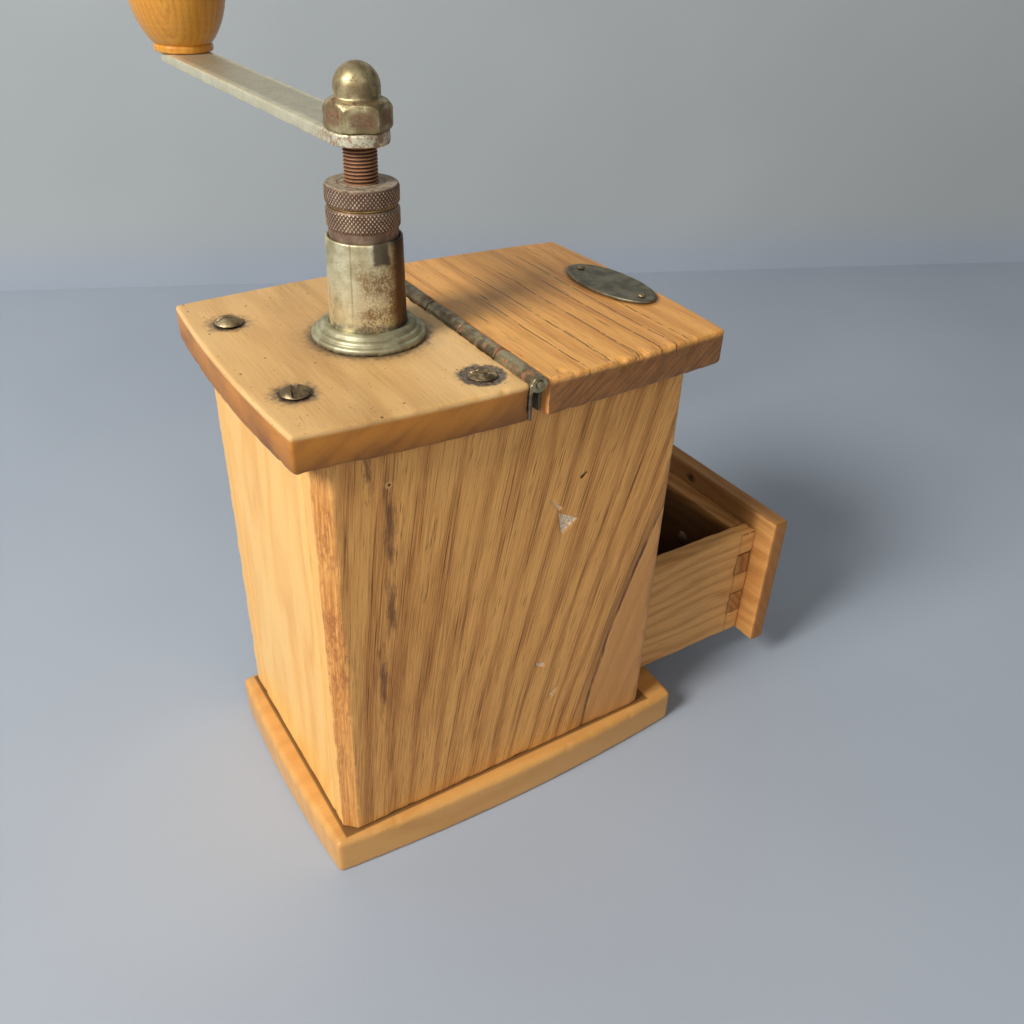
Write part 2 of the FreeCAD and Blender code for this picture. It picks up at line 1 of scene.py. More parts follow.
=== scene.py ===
"""Looks of the box coffee mill: worn boards, plated and rusty metal, floor, light and camera."""
import bpy
import json
import math
import numpy as np
import bmesh
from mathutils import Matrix, Quaternion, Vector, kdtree

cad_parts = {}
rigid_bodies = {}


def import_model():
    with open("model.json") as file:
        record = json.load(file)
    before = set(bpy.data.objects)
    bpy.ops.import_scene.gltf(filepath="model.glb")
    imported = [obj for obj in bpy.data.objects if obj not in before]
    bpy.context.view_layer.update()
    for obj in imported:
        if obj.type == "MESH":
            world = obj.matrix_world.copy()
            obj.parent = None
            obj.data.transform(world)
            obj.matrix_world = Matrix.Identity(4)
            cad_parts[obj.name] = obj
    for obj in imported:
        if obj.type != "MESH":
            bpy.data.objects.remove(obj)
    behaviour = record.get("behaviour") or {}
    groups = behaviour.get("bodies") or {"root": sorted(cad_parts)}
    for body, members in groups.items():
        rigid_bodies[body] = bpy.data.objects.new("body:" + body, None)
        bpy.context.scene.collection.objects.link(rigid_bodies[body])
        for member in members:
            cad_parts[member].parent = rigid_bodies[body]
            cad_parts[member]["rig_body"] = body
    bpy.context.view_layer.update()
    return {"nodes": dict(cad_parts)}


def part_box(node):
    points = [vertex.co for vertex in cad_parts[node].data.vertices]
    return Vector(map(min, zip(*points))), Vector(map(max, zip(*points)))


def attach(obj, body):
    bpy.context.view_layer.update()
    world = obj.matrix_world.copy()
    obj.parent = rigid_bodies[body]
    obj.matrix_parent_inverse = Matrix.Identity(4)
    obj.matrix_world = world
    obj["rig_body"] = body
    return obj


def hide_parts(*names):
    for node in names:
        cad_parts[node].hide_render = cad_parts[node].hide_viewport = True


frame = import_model()
nodes = frame["nodes"]
MM = 0.001
PER_M = 1000
BUMP_DEPTH = 0.0002
HEAD_SPREAD = 0.009     # points of one screw head are closer than this


# ---- places taken from the frame
def middle(node):
    low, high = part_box(node)
    return (low + high) / 2


def top_of(node):
    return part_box(node)[1].z


def mm(node):
    """A node's lowest and highest corners in millimetres."""
    return [corner * PER_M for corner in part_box(node)]


AXIS = Vector((middle("tower_flange").x, middle("tower_flange").y, 0.0))
TOP_Z = top_of("top_board")
TOP = TOP_Z * PER_M
TUBE_TOP = top_of("tower_tube")
FLANGE_TOP = top_of("tower_flange")
HINGE = middle("hinge_pin")
KNOB_AXIS = Vector((middle("crank_knob").x, middle("crank_knob").y, 0.0))


# ---- seeded noise on arrays of points
def hashed(cell, seed):
    c = cell.astype(np.int64)
    h = c[:, 0] * 374761393 + c[:, 1] * 668265263 + c[:, 2] * 2147483647 + seed * 974711
    h = (h ^ (h >> 13)) * 1274126177 & 0xFFFFFFFF
    return ((h ^ (h >> 16)) & 0xFFFFFF) / float(0xFFFFFF)


def value_noise(points, seed):
    """Smooth noise in -1..1 at an (n, 3) array of points, one lattice cell per unit."""
    base = np.floor(points)
    part = points - base
    part = part * part * (3 - 2 * part)
    total = np.zeros(len(points))
    for corner in range(8):
        offset = np.array([corner & 1, corner >> 1 & 1, corner >> 2 & 1])
        weight = np.prod(np.where(offset, part, 1 - part), axis=1)
        total += weight * hashed(base + offset, seed)
    return total * 2 - 1


def rough_noise(points, seed, octaves=3):
    total = np.zeros(len(points))
    for i in range(octaves):
        total += value_noise(points * 2 ** i, seed + i) / 2 ** i
    return total


# ---- mesh helpers
def new_object(name, mesh):
    piece = bpy.data.objects.new(name, mesh)
    bpy.context.scene.collection.objects.link(piece)
    return piece


def get_co(mesh):
    co = np.empty(len(mesh.vertices) * 3)
    mesh.vertices.foreach_get("co", co)
    return co.reshape(-1, 3)


def get_normals(mesh):
    no = np.empty(len(mesh.vertices) * 3)
    mesh.vertex_normals.foreach_get("vector", no)
    return no.reshape(-1, 3)


def set_co(mesh, co):
    mesh.vertices.foreach_set("co", co.ravel())
    mesh.update()


def set_attribute(mesh, name, values):
    layer = mesh.attributes.new(name, "FLOAT", "POINT")
    layer.data.foreach_set("value", np.asarray(values, np.float32))


def smooth_shaded(mesh):
    mesh.polygons.foreach_set("use_smooth", [True] * len(mesh.polygons))


def applied(piece, *modifiers):
    """Add modifiers given as (type, settings), apply them and keep the plain mesh."""
    for kind, settings in modifiers:
        modifier = piece.modifiers.new(kind.lower(), kind)
        for key, value in settings.items():
            setattr(modifier, key, value)
    shaped = piece.evaluated_get(bpy.context.evaluated_depsgraph_get())
    mesh = bpy.data.meshes.new_from_object(shaped)
    piece.modifiers.clear()
    piece.data = mesh


def sharp_points(mesh, step):
    """Points spread along the edges of a CAD mesh where its faces meet at more than 35 degrees."""
    faces_of = {}
    merged = {}
    key_of = [tuple(round(c * 1e6) for c in v.co) for v in mesh.vertices]
    for polygon in mesh.polygons:
        loop = list(polygon.vertices)
        for i, a in enumerate(loop):
            b = loop[(i + 1) % len(loop)]
            edge = tuple(sorted((key_of[a], key_of[b])))
            merged[edge] = (mesh.vertices[a].co, mesh.vertices[b].co)
            faces_of.setdefault(edge, []).append(polygon.normal)
    points = []
    for edge, normals in faces_of.items():
        if len(normals) > 1 and normals[0].dot(normals[1]) < math.cos(math.radians(35)):
            a, b = merged[edge]
            count = max(1, int((b - a).length / step))
            points += [a.lerp(b, i / count) for i in range(count + 1)]
    return points


def edge_distance(mesh, points):
    tree = kdtree.KDTree(len(points))
    for i, point in enumerate(points):
        tree.insert(point, i)
    tree.balance()
    return np.array([tree.find(v.co)[2] for v in mesh.vertices])


def worn(node, name, voxel, wear, ripple, ripple_scale=(40, 40, 40), seed=1, extra=None):
    """A finely meshed copy of a CAD node with eased, nicked edges and slightly uneven faces."""
    source = nodes[node].data
    piece = new_object(name, source.copy())
    applied(piece, ("REMESH", dict(mode="VOXEL", voxel_size=voxel)),
            ("SMOOTH", dict(factor=0.5, iterations=2)))
    mesh = piece.data
    co, normals = get_co(mesh), get_normals(mesh)
    distance = edge_distance(mesh, sharp_points(source, 0.001))
    near = np.exp(-(distance / 0.0013) ** 2)
    chips = np.clip(rough_noise(co * 130, seed, 3) + 0.25, 0, 1)
    chips += 0.35 * np.clip(rough_noise(co * 420, seed + 7, 2), 0, 1)
    swell = np.clip(rough_noise(co * np.array(ripple_scale), seed + 3, 2) + 0.6, 0, 2)
    move = -near * chips * wear - swell * ripple
    if extra:
        move += extra(co, normals, distance)
    set_co(mesh, co + normals * move[:, None])
    set_attribute(mesh, "edge", np.exp(-distance / 0.0016))
    smooth_shaded(mesh)
    mesh.materials.clear()
    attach(piece, nodes[node]["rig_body"])
    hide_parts(node)
    return piece


def rounded(points, passes=2):
    """Cut the corners of an open outline by Chaikin's rule, keeping its two ends."""
    pts = [np.array(p, float) for p in points]
    for _ in range(passes):
        cut = [pts[0]]
        for a, b in zip(pts, pts[1:]):
            cut += [a * 0.75 + b * 0.25, a * 0.25 + b * 0.75]
        pts = cut + [pts[-1]]
    return pts


def spaced(points, step):
    """The same outline with points no further apart than step."""
    pts = [np.array(p, float) for p in points]
    out = [pts[0]]
    for a, b in zip(pts, pts[1:]):
        count = max(1, int(math.ceil(np.linalg.norm(b - a) / step)))
        out += [a + (b - a) * i / count for i in range(1, count + 1)]
    return out


def turned(name, outline, segments, centre, closed=False, relief=None):
    """Turn a (radius, height) outline about a vertical axis.

    relief(angle, height, radius) returns an array of radial offsets and, for the material, a 0..1 height value.
    """
    pts = np.array(outline)
    rows = len(pts)
    angle = np.arange(segments) * 2 * math.pi / segments
    a = np.tile(angle, rows)
    r = np.repeat(pts[:, 0], segments)
    z = np.repeat(pts[:, 1], segments)
    shade = np.zeros(len(a))
    if relief:
        push, shade = relief(a, z, r)
        r = r + push * (r > 1e-5)
    co = np.stack([centre.x + r * np.cos(a), centre.y + r * np.sin(a), z], 1)
    faces = []
    last = rows if closed else rows - 1
    for i in range(last):
        j = (i + 1) % rows
        for s in range(segments):
            t = (s + 1) % segments
            faces.append((i * segments + s, i * segments + t, j * segments + t, j * segments + s))
    mesh = bpy.data.meshes.new(name)
    mesh.from_pydata(co.tolist(), [], faces)
    set_attribute(mesh, "relief", shade)
    piece = new_object(name, mesh)
    weld(mesh)
    smooth_shaded(mesh)
    return piece


def weld(mesh):
    """Join the points that meet on the turning axis and point every face outwards."""
    bm = bmesh.new()
    bm.from_mesh(mesh)
    bmesh.ops.remove_doubles(bm, verts=bm.verts, dist=1e-7)
    bmesh.ops.recalc_face_normals(bm, faces=bm.faces)
    bm.to_mesh(mesh)
    bm.free()


# ---- shader trees
def math_step(operation, swapped=False):
    """A method that adds one Math node, for one of Python's operators."""
    def step(self, other=None):
        pair = (other, self) if swapped else (self, other)
        return self.owner.maths(operation, *pair)
    return step


class Value:
    """A shader socket that Python's operators work on."""
    __add__, __sub__, __mul__ = math_step("ADD"), math_step("SUBTRACT"), math_step("MULTIPLY")
    __truediv__, __pow__, __abs__ = math_step("DIVIDE"), math_step("POWER"), math_step("ABSOLUTE")
    __rsub__ = math_step("SUBTRACT", swapped=True)

    def __init__(self, owner, socket):
        self.owner, self.socket = owner, socket


class Nodes:
    """A short way to write shader trees: each call adds a node and returns one of its outputs."""

    def __init__(self, name):
        self.material = bpy.data.materials.new(name)
        self.material.use_nodes = True
        self.tree = self.material.node_tree
        self.shader = self.tree.nodes["Principled BSDF"]

    def add(self, kind, inputs=(), out=0, **settings):
        node = self.tree.nodes.new("ShaderNode" + kind)
        for key, value in settings.items():
            setattr(node, key, value)
        for key, value in inputs.items() if isinstance(inputs, dict) else enumerate(inputs):
            self.put(node.inputs[key], value)
        return Value(self, node.outputs[out])

    def put(self, socket, value):
        if isinstance(value, Value):
            self.tree.links.new(value.socket, socket)
        elif value is not None:
            is_colour = hasattr(socket.default_value, "__len__") and len(socket.default_value) == 4
            socket.default_value = (*value, 1.0) if is_colour and len(value) == 3 else value

    def maths(self, operation, a, b=None, clamp=False):
        return self.add("Math", (a, b), operation=operation, use_clamp=clamp)

    def vector(self, operation, a, b=None, scale=None):
        out = 1 if operation in ("DISTANCE", "LENGTH") else 0
        return self.add("VectorMath", (a, b, None, scale), out, operation=operation)

    def split(self, vector):
        node = self.add("SeparateXYZ", (vector,)).socket.node
        return [Value(self, output) for output in node.outputs]

    def place(self):
        """Object coordinates in millimetres, which are the row frame's."""
        return self.vector("SCALE", self.add("TexCoord", out=3), scale=PER_M)

    def stretch(self, vector, scale=(1, 1, 1), turn=(0, 0, 0), shift=(0, 0, 0)):
        angles = tuple(math.radians(t) for t in turn)
        return self.add("Mapping", {"Vector": vector, "Location": shift, "Rotation": angles, "Scale": scale})

    def noise(self, vector, scale=1.0, detail=2.0, rough=0.5, out=0):
        """Noise at one scale, or at a scale for each direction."""
        if isinstance(scale, tuple):
            vector, scale = self.stretch(vector, scale), 1.0
        return self.add("TexNoise", {"Vector": vector, "Scale": scale, "Detail": detail, "Roughness": rough}, out)

    def wander(self, amount, *noise):
        """Noise about zero, up to half the amount either way."""
        return (self.noise(*noise) - 0.5) * amount

    def cells(self, vector, scale):
        return self.add("TexVoronoi", {"Vector": vector, "Scale": scale, "Randomness": 1.0}, feature="F1")

    def most(self, *values):
        total = values[0]
        for value in values[1:]:
            total = self.maths("MAXIMUM", total, value)
        return total

    def ramp(self, value, low, high, a=0.0, b=1.0):
        """Value from low..high mapped smoothly to a..b."""
        return self.add("MapRange", {"Value": value, "From Min": low, "From Max": high, "To Min": a, "To Max": b},
                        interpolation_type="SMOOTHSTEP")

    def mix(self, factor, a, b, amount=None):
        if amount is not None:
            factor = factor * amount
        return self.add("Mix", {0: factor, 6: a, 7: b}, 2, data_type="RGBA")

    def layers(self, colour, *coats):
        """Lay coats over a colour in turn, each a mask, the coat's colour and sometimes an amount."""
        for mask, *coat in coats:
            colour = self.mix(mask, colour, *coat)
        return colour

    def colours(self, value, stops):
        out = self.add("ValToRGB", (value,))
        elements = out.socket.node.color_ramp.elements
        while len(elements) < len(stops):
            elements.new(0.5)
        for element, (position, colour) in zip(elements, stops):
            element.position = position
            element.color = (*colour, 1.0)
        return out

    def attribute(self, name):
        return self.add("Attribute", out=2, attribute_name=name)

    def bump(self, height, strength):
        return self.add("Bump", {"Strength": strength, "Distance": BUMP_DEPTH, "Height": height})

    def finish(self, colour, rough, normal, metal=None, coat=0.0, coat_rough=0.2, specular=0.5):
        for key, value in (("Base Color", colour), ("Roughness", rough), ("Normal", normal), ("Metallic", metal),
                           ("Coat Weight", coat), ("Coat Roughness", coat_rough), ("Specular IOR Level", specular)):
            self.put(self.shader.inputs[key], value)
        return self.material


def spots(n, place, centres, low, high, ragged=None):
    """1 inside radius low of any centre, falling to 0 at high."""
    parts = []
    for centre in centres:
        away = n.vector("DISTANCE", place, tuple(c * PER_M for c in centre))
        parts.append(n.ramp(away + ragged if ragged else away, low, high, 1.0, 0.0))
    return n.most(*parts)


def fanned(n, local, centre, rate, level):
    """Grain lines that spread apart with height about a line at y = centre."""
    x, y, z = n.split(local)
    return n.add("CombineXYZ", (x, (y - centre) * n.maths("EXPONENT", (z - level) * -rate), z))


def wood(name, pale, mid, deep, grain="Z", turn=None, pith=(0, -60), ring=3.2, figure=0.55, pores=0.5,
         pore_length=7.0, fibre=0.35, streaks=0.0, blotch=0.3, edge_colour=None, edge_amount=0.4, rough=0.42,
         coat=0.25, bump=0.35, stain=None, seed=0.0, warp=1.0, fan=None, soft=True, lines=0.0):
    """Varnished wood as a solid: year rings about a pith line along the grain, pores, fibres and patina."""
    n = Nodes(name)
    place = n.place()
    local = n.stretch(place, turn={"Z": (0, 0, 0), "X": (0, -90, 0), "Y": (90, 0, 0)}[grain])
    if fan:
        local = fanned(n, local, *fan)
    if turn:
        local = n.stretch(local, turn=turn)
    local = n.stretch(local, shift=(seed * 37.0, seed * 53.0, seed * 71.0))
    sway = n.noise(local, (0.022, 0.022, 0.010), out=1)
    sway = n.vector("SCALE", n.vector("SUBTRACT", sway, (0.5, 0.5, 0.5)), scale=26.0 * warp)
    u, v, _ = n.split(n.vector("ADD", local, sway))
    u, v = u + (-pith[0] - seed * 37.0), v + (-pith[1] - seed * 53.0)
    cycle = n.maths("SQRT", u * u + v * v) / ring + n.noise(local, (0.10, 0.10, 0.012), 3.0) * 1.3
    year = n.maths("FRACT", cycle)
    if soft:
        late = (n.maths("COSINE", (year - 0.62) * (2 * math.pi)) * 0.5 + 0.5) ** 1.6
    else:
        late = year ** 2.2 * n.ramp(year, 1.0, 0.90)
    fibres = n.noise(local, (4.2, 4.2, 0.055), 4.0, 0.65)
    fine = n.noise(local, (11.0, 11.0, 0.16), 2.0, 0.6)
    vessel = n.ramp(n.noise(local, (3.4, 3.4, 1.0 / pore_length), 1.5), 0.60, 0.72)
    vessel = vessel * (n.ramp(year, 0.34, 0.02) * 0.75 + 0.25)
    broad = n.noise(local, (0.030, 0.030, 0.006), 3.0)
    tone = late * figure + n.ramp(broad, 0.3, 0.7) * blotch
    tone = tone + (fibres - 0.5) * (fibre * 1.8) + (fine - 0.5) * (fibre * 0.8)
    colour = n.colours(tone, ((0.0, pale), (0.45, mid), (1.0, deep)))
    dark = tuple(c * 0.32 for c in deep)
    colour = n.mix(n.maths("MULTIPLY", vessel, pores, clamp=True), colour, dark)
    if lines:
        thin = n.noise(n.stretch(local, (2.1, 2.1, 0.022), shift=(3.0, 1.0, 0)), 1.0, 4.0, 0.65)
        colour = n.mix(n.ramp(thin, 0.52, 0.66) * (late * 0.6 + 0.4), colour, dark, lines)
    if streaks:
        wide = n.noise(n.stretch(local, (0.16, 0.16, 0.009), shift=(3.0, 1.0, 0)), 1.0, 2.0, 0.4)
        colour = n.mix(n.ramp(wide, 0.62, 0.72), colour, dark, streaks)
    if edge_colour:
        mask = n.attribute("edge") * n.ramp(n.noise(place, 0.5, 3.0), 0.35, 0.65, 0.3, 1.0)
        colour = n.mix(n.maths("MULTIPLY", mask, edge_amount, clamp=True), colour, edge_colour)
    if stain:
        colour = stain(n, place, colour)
    roughness = n.noise(place, 0.045, 4.0, 0.6) * 0.28 + (rough - 0.14) + vessel * 0.25
    height = fibres * 0.45 - vessel * 1.0 + fine * 0.25
    return n.finish(colour, roughness, n.bump(height, bump), coat=coat, coat_rough=0.28, specular=0.25)


def metal(name, clean, tarnish, rust, clean_to_tarnish=(0.42, 0.62), rust_level=(0.60, 0.72), speckle=0.0,
          rough=0.36, metallic=0.92, pit=0.2, extra=None, relief=None):
    """Old metal: a clean ground clouded with tarnish, rust patches and dark speckles."""
    n = Nodes(name)
    place = n.place()
    cloud = n.noise(place, 0.16, 5.0, 0.6)
    rusty = n.ramp(n.noise(n.stretch(place, shift=(31.0, 7.0, 3.0)), 0.24, 6.0, 0.68), *rust_level)
    grit = n.noise(place, 3.2, 3.0, 0.7)
    rust_tone = n.mix(n.ramp(grit, 0.35, 0.65), rust, tuple(c * 0.45 for c in rust))
    metalness = rusty * (-metallic * 0.85) + metallic
    colour = n.mix(rusty, n.mix(n.ramp(cloud, *clean_to_tarnish), clean, tarnish), rust_tone)
    roughness = rusty * 0.38 + (cloud * 0.3 + (rough - 0.12))
    height = grit * (rusty + 0.25)
    if speckle:
        where = n.ramp(n.noise(place, 0.22, 3.0, 0.6), 0.42, 0.60)
        dots = n.maths("MULTIPLY", n.ramp(n.cells(place, 1.9), 0.30, 0.16) * where, speckle, clamp=True)
        colour = n.mix(dots, colour, tuple(c * 0.35 for c in rust))
        roughness = roughness + dots * 0.3
        metalness = metalness * (1.0 - dots * 0.8)
        height = height - dots * 0.6
    if relief:
        low, high, hollow, crest = relief
        raised = n.attribute("relief")
        colour = n.mix(n.ramp(raised, low, high), hollow, n.mix(n.ramp(raised, high, 1.0), colour, crest))
    if extra:
        colour, roughness, metalness = extra(n, place, colour, roughness, metalness)
    return n.finish(colour, roughness, n.bump(height, pit), metalness)


def dress(piece, material):
    piece.data.materials.clear()
    piece.data.materials.append(material)


def dress_node(node, material):
    for index in range(max(1, len(nodes[node].material_slots))):
        nodes[node].material_slots[index].material = material


def stand_in(piece, node, material):
    """Dress a piece built in code, let it ride on the node's body and hide the node."""
    dress(piece, material)
    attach(piece, nodes[node]["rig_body"])
    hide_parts(node)


def heads(node, above):
    """Centres of the separate heads of a node that stand above a height."""
    found = []
    for vertex in nodes[node].data.vertices:
        if vertex.co.z > above:
            for group in found:
                if (group[0] - vertex.co).length < HEAD_SPREAD:
                    group.append(vertex.co)
                    break
            else:
                found.append([vertex.co])
    centres = []
    for group in found:
        low, high = (Vector([pick(p[i] for p in group) for i in range(3)]) for pick in (min, max))
        centres.append((low + high) / 2)
    return sorted(centres, key=lambda c: (round(c.x, 3), round(c.y, 3)))


SCREWS = heads("top_screws", TOP_Z + 0.0001)
NAILS = heads("plate_nails", top_of("name_plate") + 0.0001)
PLATE = middle("name_plate")
PLATE_HALF = (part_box("name_plate")[1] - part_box("name_plate")[0]) / 2
PLATE_TURN = math.atan2(NAILS[-1].y - NAILS[0].y, NAILS[-1].x - NAILS[0].x)


# ---- woods; places in these functions are in millimetres
def top_grime_and_shade(n, place, colour):
    """Grey grime round the screws and the flange, a near-black ring of painted shade in the pressed-in recess round
    each screw head, a dark ring at the flange's foot, dust specks, and the darker clouded end grain.
    """
    ragged = n.wander(11.0, place, 0.55, 5.0, 0.75)
    flange = [(AXIS.x, AXIS.y, TOP_Z)]
    crust = n.mix(n.ramp(n.noise(place, 0.9, 4.0, 0.7), 0.40, 0.60), (0.040, 0.030, 0.028), (0.22, 0.165, 0.120))
    colour = n.layers(
        colour, (spots(n, place, flange, 18.5, 27.0, ragged), (0.24, 0.160, 0.085), 0.28),
        (spots(n, place, SCREWS, 4.6, 8.8, ragged), (0.150, 0.112, 0.078), 0.72),
        # painted shade: the near-black ring in the recess round each screw head
        (spots(n, place, SCREWS, 4.2, 6.2, ragged * 0.6), (0.026, 0.021, 0.019), 0.88),
        (spots(n, place, flange, 17.0, 21.5, ragged * 0.7), (0.075, 0.060, 0.042), 0.80),
        (spots(n, place, SCREWS[:1], 6.6, 8.0, ragged * 0.35), crust, 0.92))
    for scale, low, high in ((0.16, 0.085, 0.045), (0.34, 0.095, 0.05)):
        colour = n.mix(n.ramp(n.cells(place, scale), low, high, 0.0, 0.8), colour, (0.075, 0.038, 0.018))
    return rim_shade(n, place, colour)


def rim_shade(n, place, colour):
    """The upright edges of the top are ochre, browner towards the underside, with slanted clouds."""
    z = n.split(place)[2]
    clouds = n.ramp(n.noise(n.stretch(place, turn=(38, 0, 0)), (0.05, 0.035, 0.16), 3.0), 0.40, 0.68, 0.0, 0.5)
    shade = n.maths("ADD", clouds, n.ramp(z, TOP - 3.0, TOP - 11.0) * 0.55, clamp=True)
    tone = n.mix(shade, (0.53, 0.193, 0.019), (0.185, 0.058, 0.010))
    return n.mix(n.ramp(z, TOP - 0.9, TOP - 2.2), colour, tone, 0.92)


CRACKS = ((-17.0, 6.0), (-26.5, 30.0), (-36.5, 34.0), (-46.0, 10.0), (-52.0, 38.0), (-58.5, -8.0))


def cracks(n, place):
    """Long thin broken cracks along the lid's grain, each given by its y and the x where it ends."""
    x, y, z = n.split(place)
    level = y + n.wander(3.2, place, (0.03, 0.02, 0.02)) + n.wander(0.5, place, (0.7, 0.1, 0.1))
    parts = []
    for at, far_end in CRACKS:
        gaps = n.noise(n.stretch(place, (0.22, 0.02, 0.02), shift=(at, 0, 0)), 1.0, 3.0, 0.7)
        part = n.ramp(abs(level - at), 0.40, 0.08) * n.ramp(gaps, 0.37, 0.51, 0.10, 1.0)
        parts.append(part * n.ramp(x, far_end + 8.0, far_end))
    return n.most(*parts)


def lid_stain(n, place, colour):
    """Cracks, darker sawn end grain and the shadow line of dirt round the plate."""
    x, y, z = n.split(place)
    low, high = mm("lid_board")
    saw = n.noise(n.stretch(place, turn=(-52, 0, 0)), (0.16, 1.05, 0.10), 5.0, 0.7)
    hinge_end = n.ramp(y, high.y - 0.7, high.y - 0.2)
    tone = n.layers((0.30, 0.105, 0.032), (n.ramp(saw, 0.36, 0.62), (0.070, 0.023, 0.010)),
                    (hinge_end, (0.86, 0.36, 0.12)))
    lip = n.ramp(x, low.x + 2.6, low.x + 0.8) * n.ramp(z, TOP - 2.2, TOP - 1.0)
    chipped = n.ramp(n.noise(place, (0.5, 0.9, 0.5), 4.0, 0.7), 0.53, 0.62)
    across = n.stretch(place, shift=(-PLATE.x * PER_M, -PLATE.y * PER_M, -TOP))
    across = n.stretch(across, turn=(0, 0, -math.degrees(PLATE_TURN)))
    oval = n.stretch(across, (1 / (PLATE_HALF.x * PER_M), 1 / (PLATE_HALF.y * PER_M), 1 / 30))
    return n.layers(
        colour, (cracks(n, place) * n.ramp(z, TOP - 3.2, TOP - 1.4), (0.060, 0.020, 0.007), 0.85),
        (n.most(n.ramp(z, TOP - 0.9, TOP - 2.4), hinge_end), tone, 0.78),
        (lip * chipped, (0.88, 0.50, 0.24), 0.85),
        (n.ramp(n.vector("LENGTH", oval), 1.13, 1.0, 0.0, 0.6), (0.12, 0.055, 0.020)))


def side_stain(n, place, colour):
    """The planed corner: orange with dark grain lines, bruised reddish above and smooth and pale below."""
    x, y, z = n.split(place)
    low, high = mm("side_panel_left")
    corner = high.y - low.x
    on = n.ramp(y - x, corner - 5.2, corner - 4.3)
    behind = n.ramp(y, high.y - 0.75, high.y - 0.45)
    lines = n.noise(place, (1.6, 1.6, 0.035), 4.0, 0.65)
    plane = n.mix(n.ramp(lines, 0.36, 0.62), (0.88, 0.43, 0.125), (0.54, 0.210, 0.050))
    joint = n.ramp(abs(x - high.x), 0.55, 0.15)
    ridge = n.ramp(abs(x - (high.x - 7.0)), 1.1, 0.2)
    seam = n.most(joint, ridge) * n.ramp(n.noise(place, (0.5, 0.5, 0.10), 4.0), 0.36, 0.60, 0.2, 0.85)
    mottle = n.noise(place, (0.60, 0.60, 0.20), 5.0, 0.75)
    rubbed = n.ramp(mottle, 0.46, 0.58) * n.ramp(z, 45.0, 90.0, 0.15, 0.88)
    rubbed = rubbed * n.ramp(n.noise(place, 0.10, 3.0), 0.38, 0.58, 0.25, 1.0)
    return n.layers(colour, (behind, n.mix(0.82, plane, (0.98, 0.57, 0.17)), 0.9),
                    (seam * behind, (0.50, 0.185, 0.050)), (on, n.mix(rubbed, plane, (0.36, 0.115, 0.036)), 0.88))


def growth_line(n, place, colour):
    """One strong dark grain line sweeps down the near side; the wood in front of it is smooth and paler."""
    x, y, z = n.split(place)
    path = (z * -0.00147 + -0.0914) * z + -32.5
    past = y - path + n.wander(3.0, place, (0.05, 0.1, 0.05), 3.0)
    pale = n.mix(n.noise(place, (3.0, 3.0, 0.03), 3.0), (0.70, 0.350, 0.120), (0.56, 0.245, 0.075))
    patchy = n.ramp(n.noise(place, (0.3, 0.3, 0.06), 3.0), 0.35, 0.60, 0.35, 0.9)
    return n.layers(colour, (n.ramp(past, -0.3, -2.2, 0.0, 0.72), pale),
                    (n.ramp(past, 8.0, 0.5) * n.ramp(past, -0.6, 0.2), (0.130, 0.048, 0.022), 0.38),
                    (n.ramp(abs(past), 1.3, 0.2) * patchy, (0.085, 0.030, 0.018)))


NAIL_HOLE = (-46.5, 45.9, 155.8)
STREAKS = ((46.3, 141.0, 2.4), (46.8, 110.0, 2.0), (50.8, 81.0, 2.2), (52.5, 163.0, 1.3))
SQUASH = 0.13


def side_knots(n, place, colour):
    """Thin purple-brown streaks, and an old nail hole with a pale rim."""
    tall = n.stretch(place, (1, 1, SQUASH))
    wavy = n.wander(5.5, place, (0.5, 0.5, 0.12), 4.0, 0.65)
    for y, z, size in STREAKS:
        away = n.vector("DISTANCE", tall, (NAIL_HOLE[0], y, z * SQUASH)) + wavy
        colour = n.mix(n.ramp(away, size * 1.2, size * 0.1, 0.0, 0.75), colour, (0.105, 0.036, 0.024))
    hole = n.vector("DISTANCE", place, NAIL_HOLE)
    return n.layers(colour, (n.ramp(hole + wavy * 0.25, 1.5, 0.8, 0.0, 0.8), (0.80, 0.42, 0.15)),
                    (n.ramp(hole, 0.65, 0.35), (0.070, 0.026, 0.012)))


# y, z, length, width, lean in degrees and taper of marks in the near side
NICKS = ((-18.0, 122.5, 8.0, 3.9, 35.0, 1.0), (-14.2, 129.6, 6.0, 0.7, 42.0, 0.8),
         (-12.0, 59.7, 3.4, 1.6, 72.0, 0.4), (-19.0, 42.6, 3.8, 1.2, -38.0, 0.4))
SLITS = ((-24.8, 138.2, 3.0, 0.9, -50.0, 0.4),)


def lean_axes(y, z, lean):
    """Distances along and across a mark that leans from the vertical."""
    c, s = math.cos(math.radians(lean)), math.sin(math.radians(lean))
    return y * s + z * c, abs(y * c - z * s)


def chips(n, place, colour):
    """Small nicks in the near side that show pale splintered wood, and a dark slit."""
    x, y, z = n.split(place)
    jag = n.noise(place, 1.1, 3.0, 0.7) - 0.5
    on = n.ramp(x, -43.0, -44.0)
    shred = n.mix(n.ramp(n.noise(place, 1.6, 3.0, 0.7), 0.40, 0.58), (1.0, 0.84, 0.62), (0.66, 0.42, 0.22))
    for nicks, tone in ((NICKS, shred), (SLITS, (0.045, 0.022, 0.014))):
        for cy, cz, length, width, lean, taper in nicks:
            along, across = lean_axes(y - cy, z - cz, lean)
            half = along * (-taper * width / length) + width / 2
            side = across - half + jag * (width * 0.35)
            mask = n.ramp(n.most(side, abs(along) - length / 2), 0.15, -0.15)
            colour = n.mix(mask * on, colour, tone)
    return colour


def left_side(n, place, colour):
    for stain in (growth_line, side_stain, side_knots, chips):
        colour = stain(n, place, colour)
    return colour


def base_foot_line(n, place, colour):
    """A dark line on the base board all round the foot of the case."""
    x, y, z = n.split(place)
    low, high = mm("side_panel_right")
    gap = n.most(abs(x) - high.x, abs(y) - high.y)
    line = n.ramp(gap, 1.5, 0.5) * n.ramp(z, low.z - 1.2, low.z - 0.4)
    return n.mix(line, colour, (0.10, 0.045, 0.016), 0.8)


